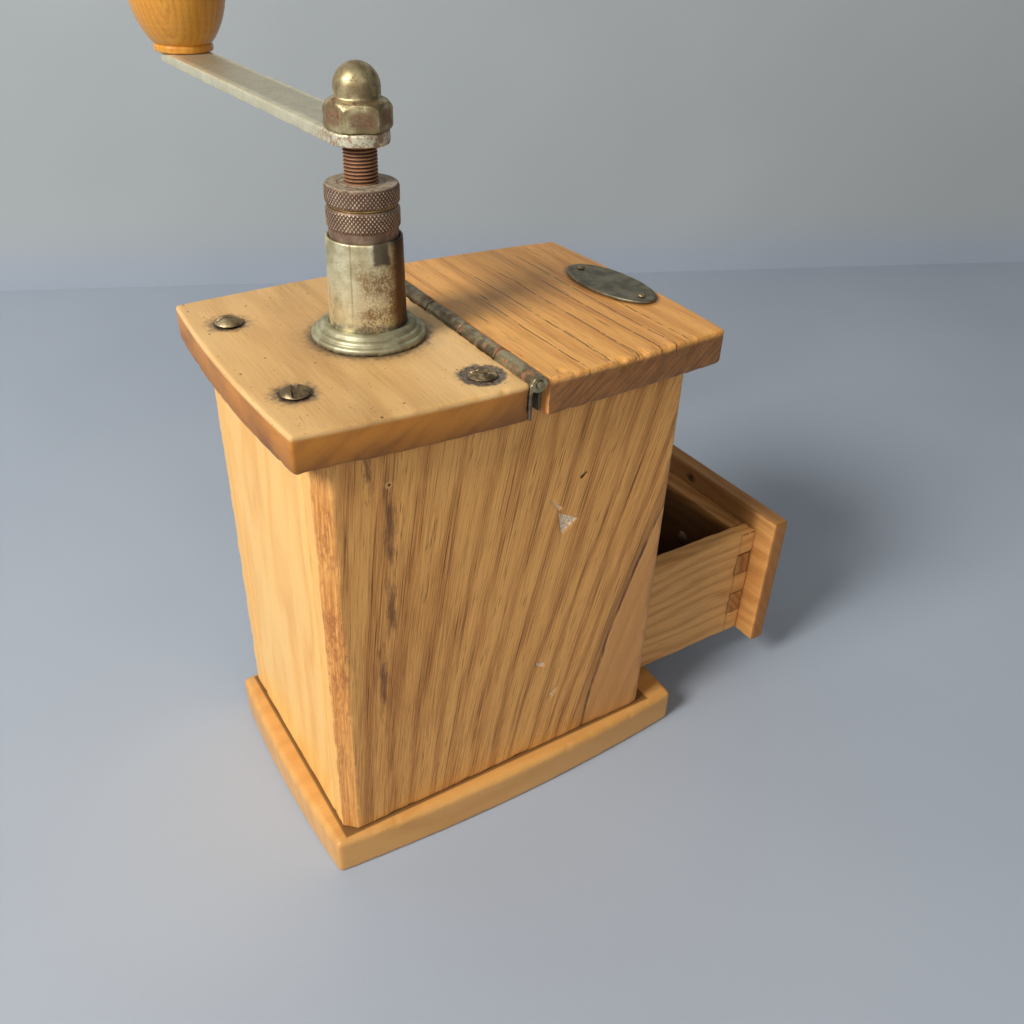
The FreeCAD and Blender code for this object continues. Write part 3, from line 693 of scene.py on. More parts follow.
def inside_shade(n, place, colour):
    """Painted shade: the inside of the drawer is darkened, more so further below the rim."""
    x, y, z = n.split(place)
    low, high = mm("drawer_bottom")
    rim = mm("drawer_side_left")[1].z
    within_y = n.ramp(y, low.y - 0.9, low.y - 0.2) * n.ramp(y, high.y + 0.9, high.y + 0.2)
    mask = n.ramp(abs(x), high.x + 0.9, high.x + 0.2) * within_y * n.ramp(z, rim, rim - 6.0)
    # painted shade inside the drawer, deepening below the rim
    return n.mix(mask, colour, (0.080, 0.041, 0.022), 0.78)


def drawer_glue_and_shade(n, place, colour):
    """Brown glue marks at the finger joints, then the painted shade inside."""
    x, y, z = n.split(place)
    low, high = mm("drawer_inner_front")
    step = n.maths("FRACT", (z - low.z) / ((high.z - low.z) / 5))
    seam = n.ramp(n.maths("MINIMUM", step, 1.0 - step), 0.075, 0.02)
    ragged = n.noise(place, 0.8, 3.0, 0.6)
    mask = seam * n.ramp(y, high.y + 0.8, high.y + 0.2) * n.ramp(ragged, 0.35, 0.6, 0.3, 1.0)
    end = n.ramp(abs(y - high.y), 0.5, 0.1) * 0.8
    wall = mm("drawer_side_right")[1].x
    marks = n.most(mask, end * ragged) * n.ramp(abs(x), wall - 0.7, wall - 0.3)
    return inside_shade(n, place, n.mix(marks, colour, (0.090, 0.034, 0.014)))


def front_marks_and_shadow(n, place, colour):
    """Darker end grain and upper edge, a painted shadow of the case over the middle of the inner face, and a dark
    knot on the drawer front's back face.
    """
    away = n.vector("DISTANCE", n.stretch(place, (1, 1, 1.4)), (8.5, -130.5, 76.0 * 1.4))
    away = away + n.wander(4.0, place, 0.5, 3.0)
    x, y, z = n.split(place)
    high = mm("drawer_front")[1]
    return n.layers(
        # painted shadow: the case's shadow darkens the middle of the drawer front's back face, leaving its ends light
        colour, (n.ramp(abs(x), 36.0, 30.0) * n.ramp(y, high.y - 1.2, high.y - 0.3), (0.105, 0.042, 0.014), 0.66),
        (n.ramp(abs(x), high.x - 0.9, high.x - 0.3), (0.28, 0.105, 0.026), 0.72),
        (n.ramp(z, high.z - 1.0, high.z - 0.3), (0.20, 0.085, 0.026), 0.60),
        (n.ramp(away, 3.6, 1.2, 0.0, 0.9), (0.030, 0.011, 0.007)))


PALE_EDGE = (0.90, 0.50, 0.17)
wood_side_left = wood("wood_side_left", (0.91, 0.465, 0.134), (0.63, 0.275, 0.074), (0.225, 0.078, 0.021),
                      turn=(-1.5, 0, 0), pith=(60, 120), ring=8.5, figure=0.34, pores=0.85, pore_length=9,
                      fibre=1.05, blotch=0.34, edge_colour=PALE_EDGE, edge_amount=0.35, rough=0.50, coat=0.08,
                      stain=left_side, seed=1, fan=(89.5, 0.002, 90.0), lines=0.88, warp=0.45)
wood_side_right = wood("wood_side_right", (0.74, 0.390, 0.130), (0.52, 0.240, 0.070), (0.22, 0.085, 0.026),
                       turn=(3, 0, 0), pith=(-70, 90), ring=8.0, figure=0.42, pores=0.65, pore_length=9,
                       fibre=0.70, streaks=0.15, edge_colour=PALE_EDGE, edge_amount=0.35, rough=0.44, coat=0.22,
                       stain=side_stain, seed=2, lines=0.55, warp=0.5)
wood_back = wood("wood_back", (0.97, 0.590, 0.185), (0.93, 0.490, 0.118), (0.70, 0.285, 0.056), turn=(0, 1.2, 0),
                 pith=(30, 190), ring=5.5, figure=0.35, pores=0.25, fibre=0.40, blotch=0.22,
                 edge_colour=PALE_EDGE, edge_amount=0.3, bump=0.22, seed=3, lines=0.25)
wood_front = wood("wood_front", (0.84, 0.480, 0.170), (0.68, 0.340, 0.110), (0.38, 0.160, 0.048), turn=(0, -2, 0),
                  pith=(-40, -190), ring=5.0, figure=0.40, pores=0.35, fibre=0.45, edge_colour=PALE_EDGE, seed=4,
                  lines=0.35)
wood_top = wood("wood_top", (0.89, 0.575, 0.250), (0.755, 0.452, 0.176), (0.43, 0.222, 0.076), grain="X",
                pith=(-420, 10), ring=9.0, figure=0.24, pores=0.40, pore_length=4, fibre=0.46, blotch=0.50,
                edge_colour=(0.86, 0.44, 0.10), edge_amount=0.45, rough=0.46, coat=0.12, bump=0.28,
                stain=top_grime_and_shade, seed=5, lines=0.16)
wood_lid = wood("wood_lid", (0.90, 0.460, 0.125), (0.70, 0.310, 0.074), (0.34, 0.118, 0.026), grain="X",
                pith=(-480, 280), ring=7.0, figure=0.26, pores=0.85, pore_length=9, fibre=0.85, blotch=0.25,
                edge_colour=(0.88, 0.42, 0.13), edge_amount=0.65, rough=0.44, coat=0.22, bump=0.45,
                stain=lid_stain, seed=6, warp=0.35, lines=0.65)
wood_base = wood("wood_base", (0.74, 0.395, 0.122), (0.63, 0.310, 0.083), (0.39, 0.162, 0.032), grain="Y",
                 pith=(90, 60), ring=7.5, figure=0.22, pores=0.20, fibre=0.32, blotch=0.25,
                 edge_colour=(0.86, 0.46, 0.14), edge_amount=0.45, rough=0.40, stain=base_foot_line, seed=7)
wood_inner = wood("wood_inner", (0.58, 0.350, 0.160), (0.44, 0.240, 0.095), (0.27, 0.125, 0.045), grain="Y",
                  pith=(70, 50), ring=5.5, figure=0.4, pores=0.4, fibre=0.4, rough=0.55, coat=0.0, seed=8,
                  soft=False)
wood_drawer = wood("wood_drawer", (0.76, 0.400, 0.135), (0.54, 0.255, 0.072), (0.27, 0.105, 0.028), grain="Y",
                   pith=(60, 26), ring=3.4, figure=0.26, pores=0.45, pore_length=9, fibre=0.62, blotch=0.25,
                   edge_colour=(0.56, 0.31, 0.12), edge_amount=0.3, rough=0.55, coat=0.0, stain=drawer_glue_and_shade,
                   seed=9, warp=0.6, lines=0.30)
wood_cross = wood("wood_cross", (0.46, 0.220, 0.068), (0.34, 0.145, 0.040), (0.18, 0.068, 0.020), grain="X",
                  pith=(60, 36), ring=3.8, figure=0.45, pores=0.25, edge_colour=(0.46, 0.25, 0.095),
                  edge_amount=0.3, rough=0.50, coat=0.10, stain=drawer_glue_and_shade, seed=10)
wood_drawer_front = wood("wood_drawer_front", (0.82, 0.420, 0.135), (0.64, 0.285, 0.080), (0.34, 0.122, 0.032),
                         grain="X", pith=(40, 60), ring=4.5, figure=0.32, pores=0.4, fibre=0.50,
                         edge_colour=(0.86, 0.46, 0.16), rough=0.55, coat=0.0, stain=front_marks_and_shadow, seed=11,
                         lines=0.3)
wood_knob = wood("wood_knob", (0.72, 0.335, 0.045), (0.62, 0.240, 0.026), (0.38, 0.118, 0.011), pith=(130, 42),
                 ring=2.6, figure=0.42, pores=0.60, pore_length=4, fibre=0.55, rough=0.34, coat=0.40, bump=0.20,
                 seed=12, lines=0.35, soft=False)

BOARDS = (("base_board", "foot_plank", 0.0008, wood_base, "wood_base"),
          ("side_panel_right", "far_side_plank", 0.0008, wood_side_right, "wood_side"),
          ("back_panel", "back_plank", 0.0007, wood_back, "wood_back"),
          ("front_panel", "front_plank", 0.0008, wood_front, "wood_side"),
          ("divider_board", "floor_plank", 0.0009, wood_inner, "wood_base"),
          ("drawer_side_left", "drawer_near_wall", 0.0006, wood_drawer, "wood_drawer"),
          ("drawer_side_right", "drawer_far_wall", 0.0007, wood_drawer, "wood_drawer"),
          ("drawer_back", "drawer_rear_wall", 0.0006, wood_cross, "wood_drawer"),
          ("drawer_inner_front", "drawer_fore_wall", 0.0006, wood_cross, "wood_drawer"),
          ("drawer_front", "drawer_face", 0.0006, wood_drawer_front, "wood_drawer"))
for index, (node, name, voxel, material, slot) in enumerate(BOARDS):
    dress(worn(node, name, voxel, 0.00035, 0.00006, seed=20 + index), material)


def hewn_corner(co, normals, distance):
    """The hand-planed corner wanders in and out along its height, and the nicks are sunk."""
    on = np.clip((normals[:, 1] - normals[:, 0]) / math.sqrt(2) - 0.80, 0, 0.2) / 0.2
    move = -on * np.clip(rough_noise(co * np.array((70, 70, 30)), 5, 3) + 0.5, 0, 2) * 0.0005
    front = co[:, 0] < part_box("side_panel_left")[0].x + 0.0006
    for cy, cz, length, width, lean, taper in NICKS + SLITS:
        along, across = lean_axes(co[:, 1] * PER_M - cy, co[:, 2] * PER_M - cz, lean)
        side = across - width / 2 + along * taper * width / length
        depth = np.clip(0.5 - np.maximum(side, np.abs(along) - length / 2), 0, 1)
        move -= front * depth * (1 + value_noise(co * 1400, 3) * 0.4) * 0.0006
    return move


def screw_dimples(co, normals, distance):
    """The wood is pressed in round each screw head."""
    move = np.zeros(len(co))
    for centre in SCREWS:
        away = np.hypot(co[:, 0] - centre.x, co[:, 1] - centre.y)
        move -= np.clip(normals[:, 2], 0, 1) * 0.0005 * np.exp(-(away / 0.0062) ** 4)
    return move


def broken_lip(co, normals, distance):
    """Splinters have gone from the lid's end-grain lip."""
    left = np.exp(-((co[:, 0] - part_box("lid_board")[0].x) / 0.004) ** 2)
    lip = np.exp(-((co[:, 2] - TOP_Z) / 0.0022) ** 2)
    return -left * lip * np.clip(rough_noise(co * np.array((160, 330, 160)), 31, 3) + 0.15, 0, 2) * 0.0009


def weathered(rows):
    """Worn copies from rows of node, name, voxel, wear, ripple, its scale, seed, extra, material and slot."""
    for *shape, seed, extra, material, slot in rows:
        dress(worn(*shape, seed=seed, extra=extra), material)


weathered((("side_panel_left", "near_side_plank", 0.0006, 0.0005, 0.00007, (40, 40, 14), 3, hewn_corner,
            wood_side_left, "wood_side"),
           ("top_board", "rear_top", 0.0006, 0.0005, 0.00008, (30, 60, 60), 7, screw_dimples, wood_top, "wood_top"),
           ("lid_board", "lid_top", 0.0006, 0.0007, 0.00010, (30, 80, 60), 8, broken_lip, wood_lid, "wood_lid")))
for node in ("drawer_bottom", "drawer_runner_left", "drawer_runner_right"):
    dress_node(node, wood_drawer if node == "drawer_bottom" else wood_inner)


# ---- turned wooden knobs; outlines are (radius, height) in millimetres
def in_metres(outline, base=0.0):
    return [(r * MM, base + z * MM) for r, z in outline]


BEAD = [(3.05, 0.0), (10.4, 0.0), (10.8, 0.15), (11.0, 0.6), (11.0, 1.9), (10.8, 2.3), (10.4, 2.55), (10.45, 2.8)]
GRIP = [(11.2, 3.1), (13.4, 6.2), (15.2, 9.7), (16.6, 13.5), (17.6, 18.0), (18.05, 23.0), (17.8, 28.0), (16.6, 33.0),
        (14.4, 37.5), (11.4, 41.0), (7.8, 43.1), (5.4, 43.85)]
COUNTERSINK = [(5.0, 43.7), (5.0, 41.2), (3.05, 41.2)]
PULL = [(5.4, 0.4), (5.0, 2.2), (5.2, 6.0), (7.0, 9.5), (8.8, 12.5), (9.15, 15.5), (8.4, 18.5), (6.0, 20.8),
        (2.6, 21.8), (0.0, 21.95)]


def hand_turned(angle, z, r):
    ripple = np.sin(z * 2600 + np.sin(angle) * 0.4) * 0.00003
    return ripple * (r > 0.006), np.zeros(len(r))


def crank_knob():
    shape = BEAD[:1] + rounded(BEAD[1:] + GRIP) + COUNTERSINK
    outline = spaced(in_metres(shape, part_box("crank_knob")[0].z), 0.0006)
    stand_in(turned("crank_handle", outline, 144, KNOB_AXIS, True, hand_turned), "crank_knob", wood_knob)


def drawer_knob():
    shape = [(2.0, 8.0), (2.0, 0.0), (5.2, 0.0)] + rounded(PULL)
    piece = turned("drawer_pull", spaced(in_metres(shape), 0.0006), 96, Vector((0, 0, 0)))
    centre, front = middle("drawer_knob"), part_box("drawer_knob")[1].y
    co = get_co(piece.data)
    set_co(piece.data, np.stack([co[:, 0] + centre.x, front - co[:, 2], co[:, 1] + centre.z], 1))
    stand_in(piece, "drawer_knob", wood_knob)


crank_knob()
drawer_knob()


# ---- metals
SEAM = math.radians(134)


def tube_marks(n, place, colour, roughness, metalness):
    """The rolled seam, a dark rubbed patch under the nut, brown speckles low on the lit side, and painted shade
    standing in for a dark reflection over the half that faces away from the window.
    """
    x, y, z = n.split(place)
    angle = n.maths("ARCTAN2", y - AXIS.y * PER_M, x - AXIS.x * PER_M)
    top, foot = TUBE_TOP * PER_M, FLANGE_TOP * PER_M
    wander = n.wander(0.30, place, 0.5, 4.0, 0.7)
    turn = abs(angle) + wander
    patch = n.ramp(turn, 2.86, 2.98) * n.ramp(z + wander * 9.0, top - 7.0, top - 5.6)
    seam = n.ramp(abs(angle - SEAM), 0.035, 0.012) * n.ramp(z, top - 26.0, top - 14.0, 0.05, 0.45)
    base = n.ramp(z, foot + 3.5, foot + 0.4) * n.ramp(n.noise(place, 0.45, 3.0), 0.35, 0.65, 0.1, 0.8)
    dark = n.most(patch * 0.9, seam, base)
    band = n.ramp(z, top - 3.0, top - 11.0) * n.ramp(abs(abs(angle) - 2.95), 0.85, 0.20)
    band = band * n.ramp(n.noise(place, 0.16, 3.0), 0.34, 0.56, 0.35, 1.0)
    brown = band * n.ramp(n.noise(n.stretch(place, (1, 1, 0.8)), 1.5, 5.0, 0.8), 0.455, 0.52) * 0.85
    # painted shade: the half of the tube facing away from the window is darkened, standing in for the dark room it
    # reflects
    shade = n.ramp(angle, -3.10, -3.00) * n.ramp(angle, 0.5, 0.0) * n.ramp(turn, 3.02, 2.66, 0.0, 0.95)
    colour = n.layers(colour, (shade, (0.060, 0.030, 0.013)), (brown, (0.20, 0.088, 0.030)),
                      (dark, (0.045, 0.028, 0.018)))
    both = n.most(brown, dark)
    return colour, roughness + both * 0.25, metalness * (1.0 - both * 0.8)


def rusty_flats(n, place, colour, roughness, metalness):
    """The nut's flats are brown with rust; its edges and dome stay brassy."""
    low = mm("cap_nut")[0].z
    grain = n.noise(place, 0.9, 5.0, 0.75)
    flat = n.ramp(n.split(place)[2], low + 11.5, low + 8.0) * n.ramp(n.attribute("edge"), 0.55, 0.20)
    flat = flat * n.ramp(grain, 0.34, 0.52, 0.35, 0.95)
    tone = n.mix(n.ramp(grain, 0.42, 0.62), (0.120, 0.058, 0.030), (0.27, 0.150, 0.080))
    return n.mix(flat, colour, tone), roughness + flat * 0.28, metalness * (1.0 - flat * 0.75)


def dusty_top(n, place, colour, roughness, metalness):
    """Grey dust lies on the lock nut's upper face."""
    high = mm("lock_nut")[1].z
    dust = n.ramp(n.split(place)[2], high - 0.45, high - 0.1)
    dust = dust * n.ramp(n.noise(place, 0.5, 4.0, 0.7), 0.36, 0.58, 0.30, 0.85)
    return n.mix(dust, colour, (0.40, 0.335, 0.235)), roughness, metalness * n.ramp(dust, 1.0, 0.0)


def stained_eye(n, place, colour, roughness, metalness):
    """The arm is dull and gritty between its bright edges, with brown stains round its eye."""
    grit = n.ramp(n.noise(place, 1.3, 5.0, 0.8), 0.40, 0.60, 0.45, 1.0)
    near = spots(n, place, [(AXIS.x, AXIS.y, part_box("crank_arm")[0].z)], 8.0, 17.0)
    stain = near * n.ramp(n.noise(place, 0.45, 5.0, 0.72), 0.44, 0.58, 0.0, 0.9)
    colour = n.layers(colour, (n.ramp(n.attribute("edge"), 0.42, 0.12) * grit, (0.36, 0.325, 0.235), 0.62),
                      (stain, (0.23, 0.120, 0.055)))
    return colour, roughness + stain * 0.2, metalness * n.ramp(stain, 1.2, 0.0)


def dark_leaves(n, place, colour, roughness, metalness):
    """The leaves are painted dark below the pin as shade in the gap between the boards; the far end of the barrel is
    duller than the near one.
    """
    x, y, z = n.split(place)
    pin = HINGE.z * PER_M
    # painted shade: the leaves darken downwards into the gap between the boards
    down = n.ramp(z, pin - 1.2, pin - 3.4, 0.0, 0.82)
    colour = n.mix(n.most(down, n.ramp(x, -28.0, 25.0, 0.0, 0.55)), colour, (0.050, 0.042, 0.034))
    return colour, roughness + down * 0.3, metalness * n.ramp(down, 1.1, 0.0)


def grimy_foot(n, place, colour, roughness, metalness):
    dirt = n.ramp(n.split(place)[2], TOP + 1.6, TOP + 0.2) * n.ramp(n.noise(place, 0.5, 3.0), 0.3, 0.6, 0.25, 0.9)
    return n.mix(dirt, colour, (0.050, 0.036, 0.022)), roughness, metalness


RUST = (0.20, 0.078, 0.034)
tube_metal = metal("tube_metal", (0.90, 0.83, 0.55), (0.55, 0.480, 0.265), RUST, (0.38, 0.68), (0.66, 0.78), 0.75,
                   0.38, 0.85, 0.25, tube_marks)
flange_metal = metal("flange_metal", (0.54, 0.515, 0.350), (0.34, 0.310, 0.190), RUST, (0.36, 0.62), (0.68, 0.80),
                     0.6, 0.52, 0.70, 0.3, grimy_foot)
arm_metal = metal("arm_metal", (0.90, 0.85, 0.640), (0.74, 0.69, 0.500), RUST, (0.30, 0.72), (0.66, 0.80), 0.6,
                  0.46, 0.80, 0.2, stained_eye)
cap_metal = metal("cap_metal", (0.64, 0.55, 0.310), (0.30, 0.225, 0.115), (0.20, 0.090, 0.040), (0.34, 0.60),
                  (0.54, 0.68), 1.0, 0.44, 0.82, 0.4, rusty_flats)
knurl_metal = metal("knurl_metal", (0.43, 0.320, 0.225), (0.25, 0.155, 0.105), (0.21, 0.098, 0.052), (0.35, 0.6),
                    (0.52, 0.70), 0.0, 0.50, 0.60, 0.3, dusty_top,
                    (0.05, 0.50, (0.095, 0.060, 0.042), (0.68, 0.54, 0.39)))
thread_metal = metal("thread_metal", (0.32, 0.145, 0.066), (0.22, 0.088, 0.038), (0.17, 0.060, 0.024), (0.35, 0.6),
                     (0.52, 0.70), 0.0, 0.55, 0.45, 0.3, None,
                     (0.05, 0.55, (0.026, 0.012, 0.007), (0.44, 0.24, 0.125)))
brass = metal("brass", (0.78, 0.54, 0.180), (0.44, 0.27, 0.085), (0.16, 0.080, 0.032), (0.38, 0.62), (0.62, 0.76),
              0.4, 0.36, 0.9, 0.15)
old_steel = metal("old_steel", (0.58, 0.455, 0.255), (0.19, 0.135, 0.075), (0.16, 0.066, 0.030), (0.36, 0.60),
                  (0.55, 0.70), 0.8, 0.40, 0.85, 0.35)
hinge_metal = metal("hinge_metal", (0.54, 0.455, 0.270), (0.22, 0.165, 0.098), (0.42, 0.185, 0.085), (0.40, 0.62),
                    (0.54, 0.62), 0.9, 0.36, 0.85, 0.35, dark_leaves)
pewter = metal("pewter", (0.270, 0.240, 0.160), (0.150, 0.128, 0.086), (0.095, 0.062, 0.038), (0.36, 0.62),
               (0.60, 0.75), 0.6, 0.42, 0.80, 0.3)
tinplate = metal("tinplate", (0.62, 0.60, 0.54), (0.42, 0.37, 0.28), (0.16, 0.090, 0.045), (0.40, 0.62),
                 (0.62, 0.74), 0.6, 0.36, 0.85)
cast_iron = metal("cast_iron", (0.105, 0.098, 0.090), (0.065, 0.058, 0.052), (0.095, 0.045, 0.025), (0.4, 0.6),
                  (0.60, 0.74), 0.0, 0.55, 0.70, 0.6)


FOOT = [(17.75, 0.2), (17.8, 1.0), (17.6, 1.7), (17.0, 2.1), (16.5, 2.1), (16.35, 2.3), (16.2, 2.9), (15.8, 3.4),
        (15.2, 3.55), (14.9, 3.6), (14.8, 3.9), (14.5, 4.5), (13.9, 5.0), (13.3, 5.1), (12.5, 4.95)]


def flange():
    shape = [(12.0, 4.9), (12.0, 0.0), (17.4, 0.0)] + rounded(FOOT)
    piece = turned("tower_foot", spaced(in_metres(shape, TOP_Z), 0.0005), 180, AXIS, True)
    stand_in(piece, "tower_flange", flange_metal)


def tube_dents(angle, z, r):
    outside = r > 0.0111
    seam = angle - SEAM
    points = np.stack([np.cos(angle) * 3, np.sin(angle) * 3, z * 110], 1)
    push = -np.clip(rough_noise(points, 4, 2) + 0.5, 0, 2) * 0.00005 - 0.00008 * np.exp(-(seam / 0.013) ** 2)
    return push * outside, np.zeros(len(r))


def tube():
    low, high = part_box("tower_tube")
    outline = [(0.0107, high.z), (0.0107, low.z), (0.0120, low.z), (0.0120, FLANGE_TOP), (0.01145, high.z - 0.0004),
               (0.01135, high.z - 0.0001), (0.0112, high.z)]
    piece = turned("tower_barrel", spaced(outline, 0.0007), 360, AXIS, True, tube_dents)
    stand_in(piece, "tower_tube", tube_metal)


TEETH = 56


def knurl(low, high, depth=0.00036):
    """Diamond knurling between two heights, fading at the band's edges."""
    pitch = 2 * math.pi * 0.01095 / TEETH

    def relief(angle, z, r):
        turns = angle / (2 * math.pi) * TEETH
        rise = (z - low) / pitch
        one = 1 - np.abs(2 * ((turns + rise * 0.85) % 1) - 1)
        two = 1 - np.abs(2 * ((turns - rise * 0.85) % 1) - 1)
        height = np.minimum(one, two)
        inside = np.clip((z - low) / 0.0005, 0, 1) * np.clip((high - z) / 0.0005, 0, 1) * (r > 0.0104)
        damage = np.clip(value_noise(np.stack([np.cos(angle) * 4, np.sin(angle) * 4, z * 400], 1), 9) + 0.75, 0.25, 1)
        return -(1 - height) * inside * depth * damage, np.where(inside > 0, height, 0.35)
    return relief


def knurled_nut(node, name, collar, groove):
    low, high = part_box(node)
    bore = 0.00505
    if collar:
        band = collar
        outline = [(bore, low.z), (0.0100, low.z), (0.0103, low.z + 0.0003), (0.0103, band - 0.0002)]
    else:
        band = low.z
        outline = [(bore, low.z)]
    outline += [(0.01030, band + 0.0001), (0.01095, band + 0.0008), (0.01095, high.z - 0.0008), (0.0103, high.z),
                (0.0098, high.z)]
    if groove:
        outline += [(0.0072, high.z), (0.0069, high.z - 0.0002), (0.0064, high.z - 0.0002), (0.0061, high.z)]
    outline += [(bore, high.z)]
    piece = turned(name, spaced(outline, 0.00013), 560, AXIS, True, knurl(band + 0.0004, high.z - 0.0004))
    stand_in(piece, node, knurl_metal)


def spacer():
    low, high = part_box("nut_spacer")
    outline = [(0.00505, low.z), (0.0098, low.z), (0.0099, (low.z + high.z) / 2), (0.0098, high.z), (0.00505, high.z)]
    stand_in(turned("lock_ring", spaced(outline, 0.0003), 180, AXIS, True), "nut_spacer", brass)


def thread(low, high, pitch=0.001):
    def relief(angle, z, r):
        turns = (z / pitch - angle / (2 * math.pi)) % 1
        height = 1 - np.abs(2 * turns - 1)
        inside = (z > low) * (z < high) * (r > 0.0049)
        return -(1 - height) * inside * 0.00055, np.where(inside, height, 0.5)
    return relief


def spindle():
    low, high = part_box("spindle")
    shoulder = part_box("ring_burr")[1].z + 0.004
    start, end = top_of("lock_nut") - 0.003, top_of("crank_arm") - 0.001
    plain = [(0.0, low.z), (0.0032, low.z), (0.004, low.z + 0.0008), (0.004, shoulder), (0.005, shoulder),
             (0.005, start)]
    fine = spaced([(0.005, start), (0.005, end)], 0.0001)
    tail = [(0.005, high.z - 0.0008), (0.0042, high.z), (0.0, high.z)]
    piece = turned("threaded_spindle", plain + fine[1:] + tail, 96, AXIS, False, thread(start, end))
    stand_in(piece, "spindle", thread_metal)


flange()
tube()
knurled_nut("adjusting_nut", "lower_knurled_nut", TUBE_TOP + 0.0025, False)
knurled_nut("lock_nut", "upper_knurled_nut", None, True)
spacer()
spindle()


def raised_rim(co, normals, distance):
    """The plate's field is pressed down inside a narrow rim."""
    x, y = co[:, 0] - PLATE.x, co[:, 1] - PLATE.y
    c, s = math.cos(PLATE_TURN), math.sin(PLATE_TURN)
    along, across = x * c + y * s, y * c - x * s
    away = np.hypot(along / PLATE_HALF.x, across / PLATE_HALF.y)
    up = np.clip(normals[:, 2] * 2 - 1, 0, 1)
    inside = 1 / (1 + np.exp((away - 0.885) * 90))
    return -up * inside * 0.00032


FITTINGS = (("crank_arm", "crank_bar", 0.0004, 0.00022, 0.00004, 60, arm_metal, "plated_steel"),
            ("cap_nut", "domed_nut", 0.00028, 0.00030, 0.00004, 160, cap_metal, "plated_steel"),
            ("hinge_leaf_fixed", "rear_hinge_leaf", 0.0003, 0.00015, 0.00004, 120, hinge_metal, "tarnished_steel"),
            ("hinge_leaf_lid", "lid_hinge_leaf", 0.0003, 0.00015, 0.00004, 120, hinge_metal, "tarnished_steel"),
            ("name_plate", "oval_plate", 0.00022, 0.00015, 0.00003, 150, pewter, "pewter"),
            ("plate_nails", "plate_pins", 0.00018, 0.00006, 0.00002, 200, old_steel, "tarnished_steel"))
for index, (*shape, scale, material, slot) in enumerate(FITTINGS):
    extra = raised_rim if "name_plate" in shape else None
    dress(worn(*shape, (scale,) * 3, seed=41 + index, extra=extra), material)

SCREW_LOOKS = ((60, 0.75), (-20, 0.0), (80, 0.0), (15, 0.0))    # turn in degrees, how far the head is worn flat


def top_screws():
    """Round heads with wide worn slots, turned by different amounts as a hand driver leaves them."""
    piece = worn("top_screws", "round_head_screws", 0.00022, 0.00018, 0.00005, (260, 260, 260), seed=47)
    co = get_co(piece.data)
    for centre, (turn, flat) in zip(SCREWS, SCREW_LOOKS):
        a = math.radians(turn)
        near = np.hypot(co[:, 0] - centre.x, co[:, 1] - centre.y) < 0.006
        x, y, z = (co[near] - np.array((centre.x, centre.y, TOP_Z))).T
        c, s = math.cos(a), math.sin(a)
        x, y = x * c - y * s, x * s + y * c
        across = np.abs(y * c - x * s)
        sunk = np.clip((0.00085 - across) / 0.00025, 0, 1) * np.clip((z - 0.0004) / 0.0006, 0, 1)
        lumps = rough_noise(np.stack([x, y, z], 1) * 900 + turn, 60, 3)
        raised = np.clip(z, 0, 1)
        z = z - sunk * raised * 0.55 - raised * flat * (0.55 + 0.25 * np.clip(lumps, -1, 1))
        co[near] = np.stack([x + centre.x, y + centre.y, z + TOP_Z], 1)
    set_co(piece.data, co)
    dress(piece, old_steel)


top_screws()

plain = {"thrust_washer": knurl_metal, "upper_bush": brass, "lower_bush": brass, "tower_nut": flange_metal,
         "knob_screw": arm_metal, "hinge_pin": hinge_metal, "hopper": tinplate, "burr_housing": cast_iron,
         "ring_burr": cast_iron, "cone_burr": cast_iron}
for node, piece in nodes.items():
    if node in plain:
        dress_node(node, plain[node])
    elif "screw" in node and node != "top_screws" or node in ("burr_nut", "bearing_bridge"):
        dress_node(node, old_steel)


# ---- floor, backdrop, light and camera
def stage_material():
    """Matt blue-grey paper, a little greyer on the wall."""
    n = Nodes("paper")
    place = n.place()
    cloud = n.ramp(n.noise(place, (0.004, 0.004, 0.004)), 0.35, 0.65)
    fibre = n.noise(place, (0.5, 0.5, 0.5), 3.0, 0.6)
    floor = n.mix(cloud, (0.425, 0.478, 0.560), (0.400, 0.452, 0.535))
    wall = n.mix(cloud, (0.470, 0.505, 0.525), (0.440, 0.475, 0.490))
    colour = n.mix(n.ramp(n.split(place)[2], 1.0, 60.0), floor, wall)
    colour = n.mix(n.ramp(fibre, 0.55, 0.75), colour, (0.30, 0.33, 0.37), 0.06)
    return n.finish(colour, 0.75, n.bump(fibre, 0.06), specular=0.25)


WALL_ALONG, WALL_BACK = Vector((-0.375, -0.927, 0.0)), Vector((0.927, -0.375, 0.0))
WALL_FOOT = Vector((0.515, -0.145, 0.0))
WALL_LENGTH, WALL_STEPS = 6.0, 12
PROFILE = ((-3.2, 0.0), (0.0, 0.0), (0.024, 2.4))      # distance behind the wall's foot, height


def stage():
    """A floor that meets a wall along a line well behind the object."""
    verts, faces = [], []
    for i in range(WALL_STEPS + 1):
        start = WALL_FOOT + WALL_ALONG * (i / WALL_STEPS - 0.5) * WALL_LENGTH
        verts += [tuple(start + WALL_BACK * d + Vector((0, 0, h))) for d, h in PROFILE]
    rows = len(PROFILE)
    for i in range(WALL_STEPS):
        for a in range(i * rows, i * rows + rows - 1):
            faces.append((a, a + 1, a + rows + 1, a + rows))
    mesh = bpy.data.meshes.new("sweep")
    mesh.from_pydata(verts, [], faces)
    sweep = new_object("sweep", mesh)
    dress(sweep, stage_material())


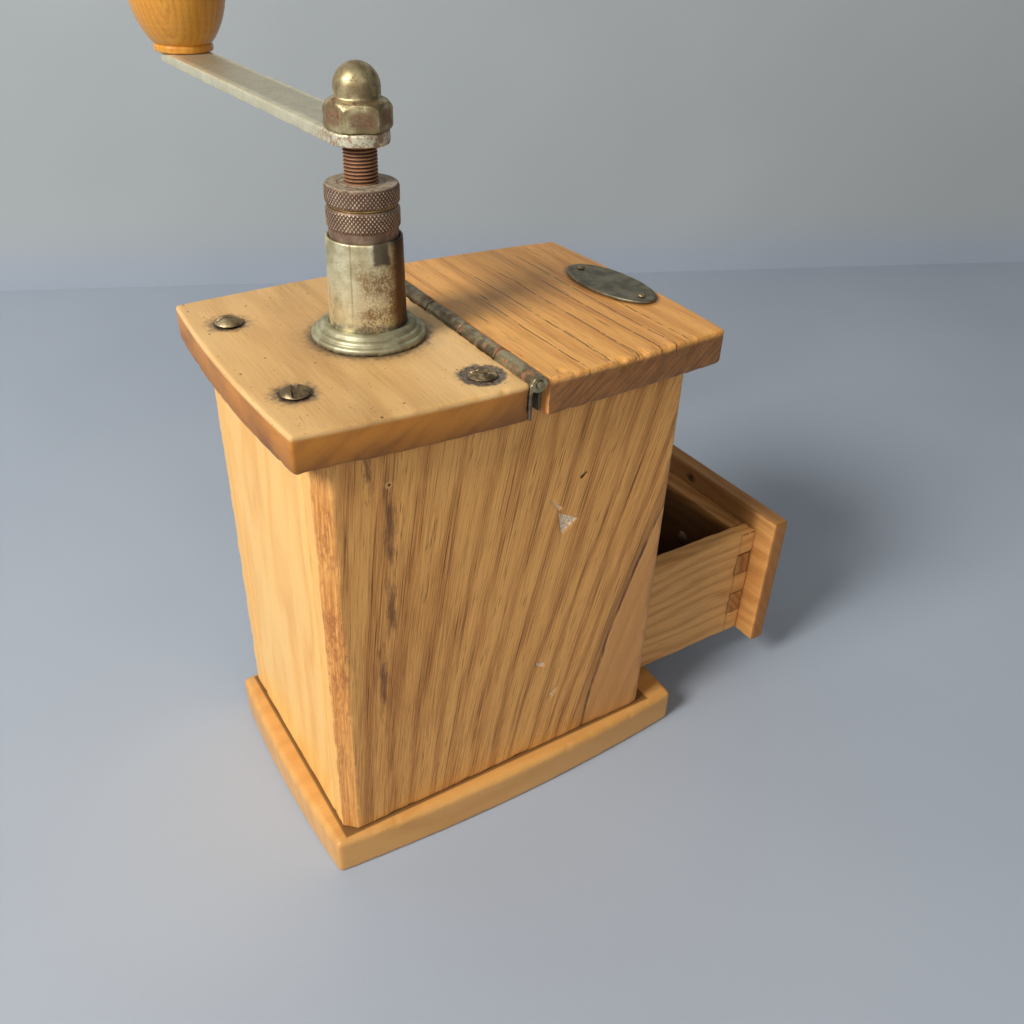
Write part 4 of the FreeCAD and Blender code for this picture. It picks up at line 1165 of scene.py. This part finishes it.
def aimed(name, data, place, aim, roll=0.0):
    """A lamp or camera at a place, looking at its aim."""
    thing = new_object(name, data)
    thing.location = place
    thing.rotation_mode = "QUATERNION"
    thing.rotation_quaternion = (aim - place).to_track_quat("-Z", "Y") @ Quaternion((0, 0, 1), math.radians(roll))
    return thing


def lamp(name, place, aim, size, power, colour):
    data = bpy.data.lights.new(name, "AREA")
    data.shape = "DISK"
    data.size, data.energy, data.color = size, power, colour
    aimed(name, data, place, aim)


def room():
    """Dim warm light from all round, brighter from the window's side."""
    world = bpy.data.worlds.new("room")
    bpy.context.scene.world = world
    world.use_nodes = True
    tree = world.node_tree
    background = tree.nodes["Background"]
    split = tree.nodes.new("ShaderNodeSeparateXYZ")
    tree.links.new(tree.nodes.new("ShaderNodeTexCoord").outputs["Generated"], split.inputs[0])
    level = tree.nodes.new("ShaderNodeMapRange")
    for socket, value in zip(level.inputs[1:5], (-0.9, 0.7, 0.015, 0.14)):
        socket.default_value = value
    tree.links.new(split.outputs[1], level.inputs[0])
    tree.links.new(level.outputs[0], background.inputs[1])
    background.inputs[0].default_value = (1.0, 0.94, 0.84, 1.0)


CAMERA_PLACE, CAMERA_AIM = Vector((-0.25855, 0.14430, 0.30199)), Vector((-0.00549, -0.02391, 0.100))
CAMERA_ROLL, CAMERA_LENS = 2.427, 33.567
WINDOW_WAY, WINDOW_DISTANCE = Vector((-0.137, 0.776, 0.616)).normalized(), 1.8


def light_and_camera():
    centre = Vector((0, 0, TOP_Z * 0.55))
    lamp("window", centre + WINDOW_WAY * WINDOW_DISTANCE, centre, 0.60, 33.0, (1.0, 0.965, 0.91))
    lamp("sky", centre + Vector((-1.3, 0.3, 0.75)), centre, 1.3, 5.6, (1.0, 0.98, 0.95))
    room()
    data = bpy.data.cameras.new("camera")
    data.sensor_width, data.lens = 36.0, CAMERA_LENS
    bpy.context.scene.camera = aimed("camera", data, CAMERA_PLACE, CAMERA_AIM, CAMERA_ROLL)
    bpy.context.scene.view_settings.view_transform = "Standard"


stage()
light_and_camera()
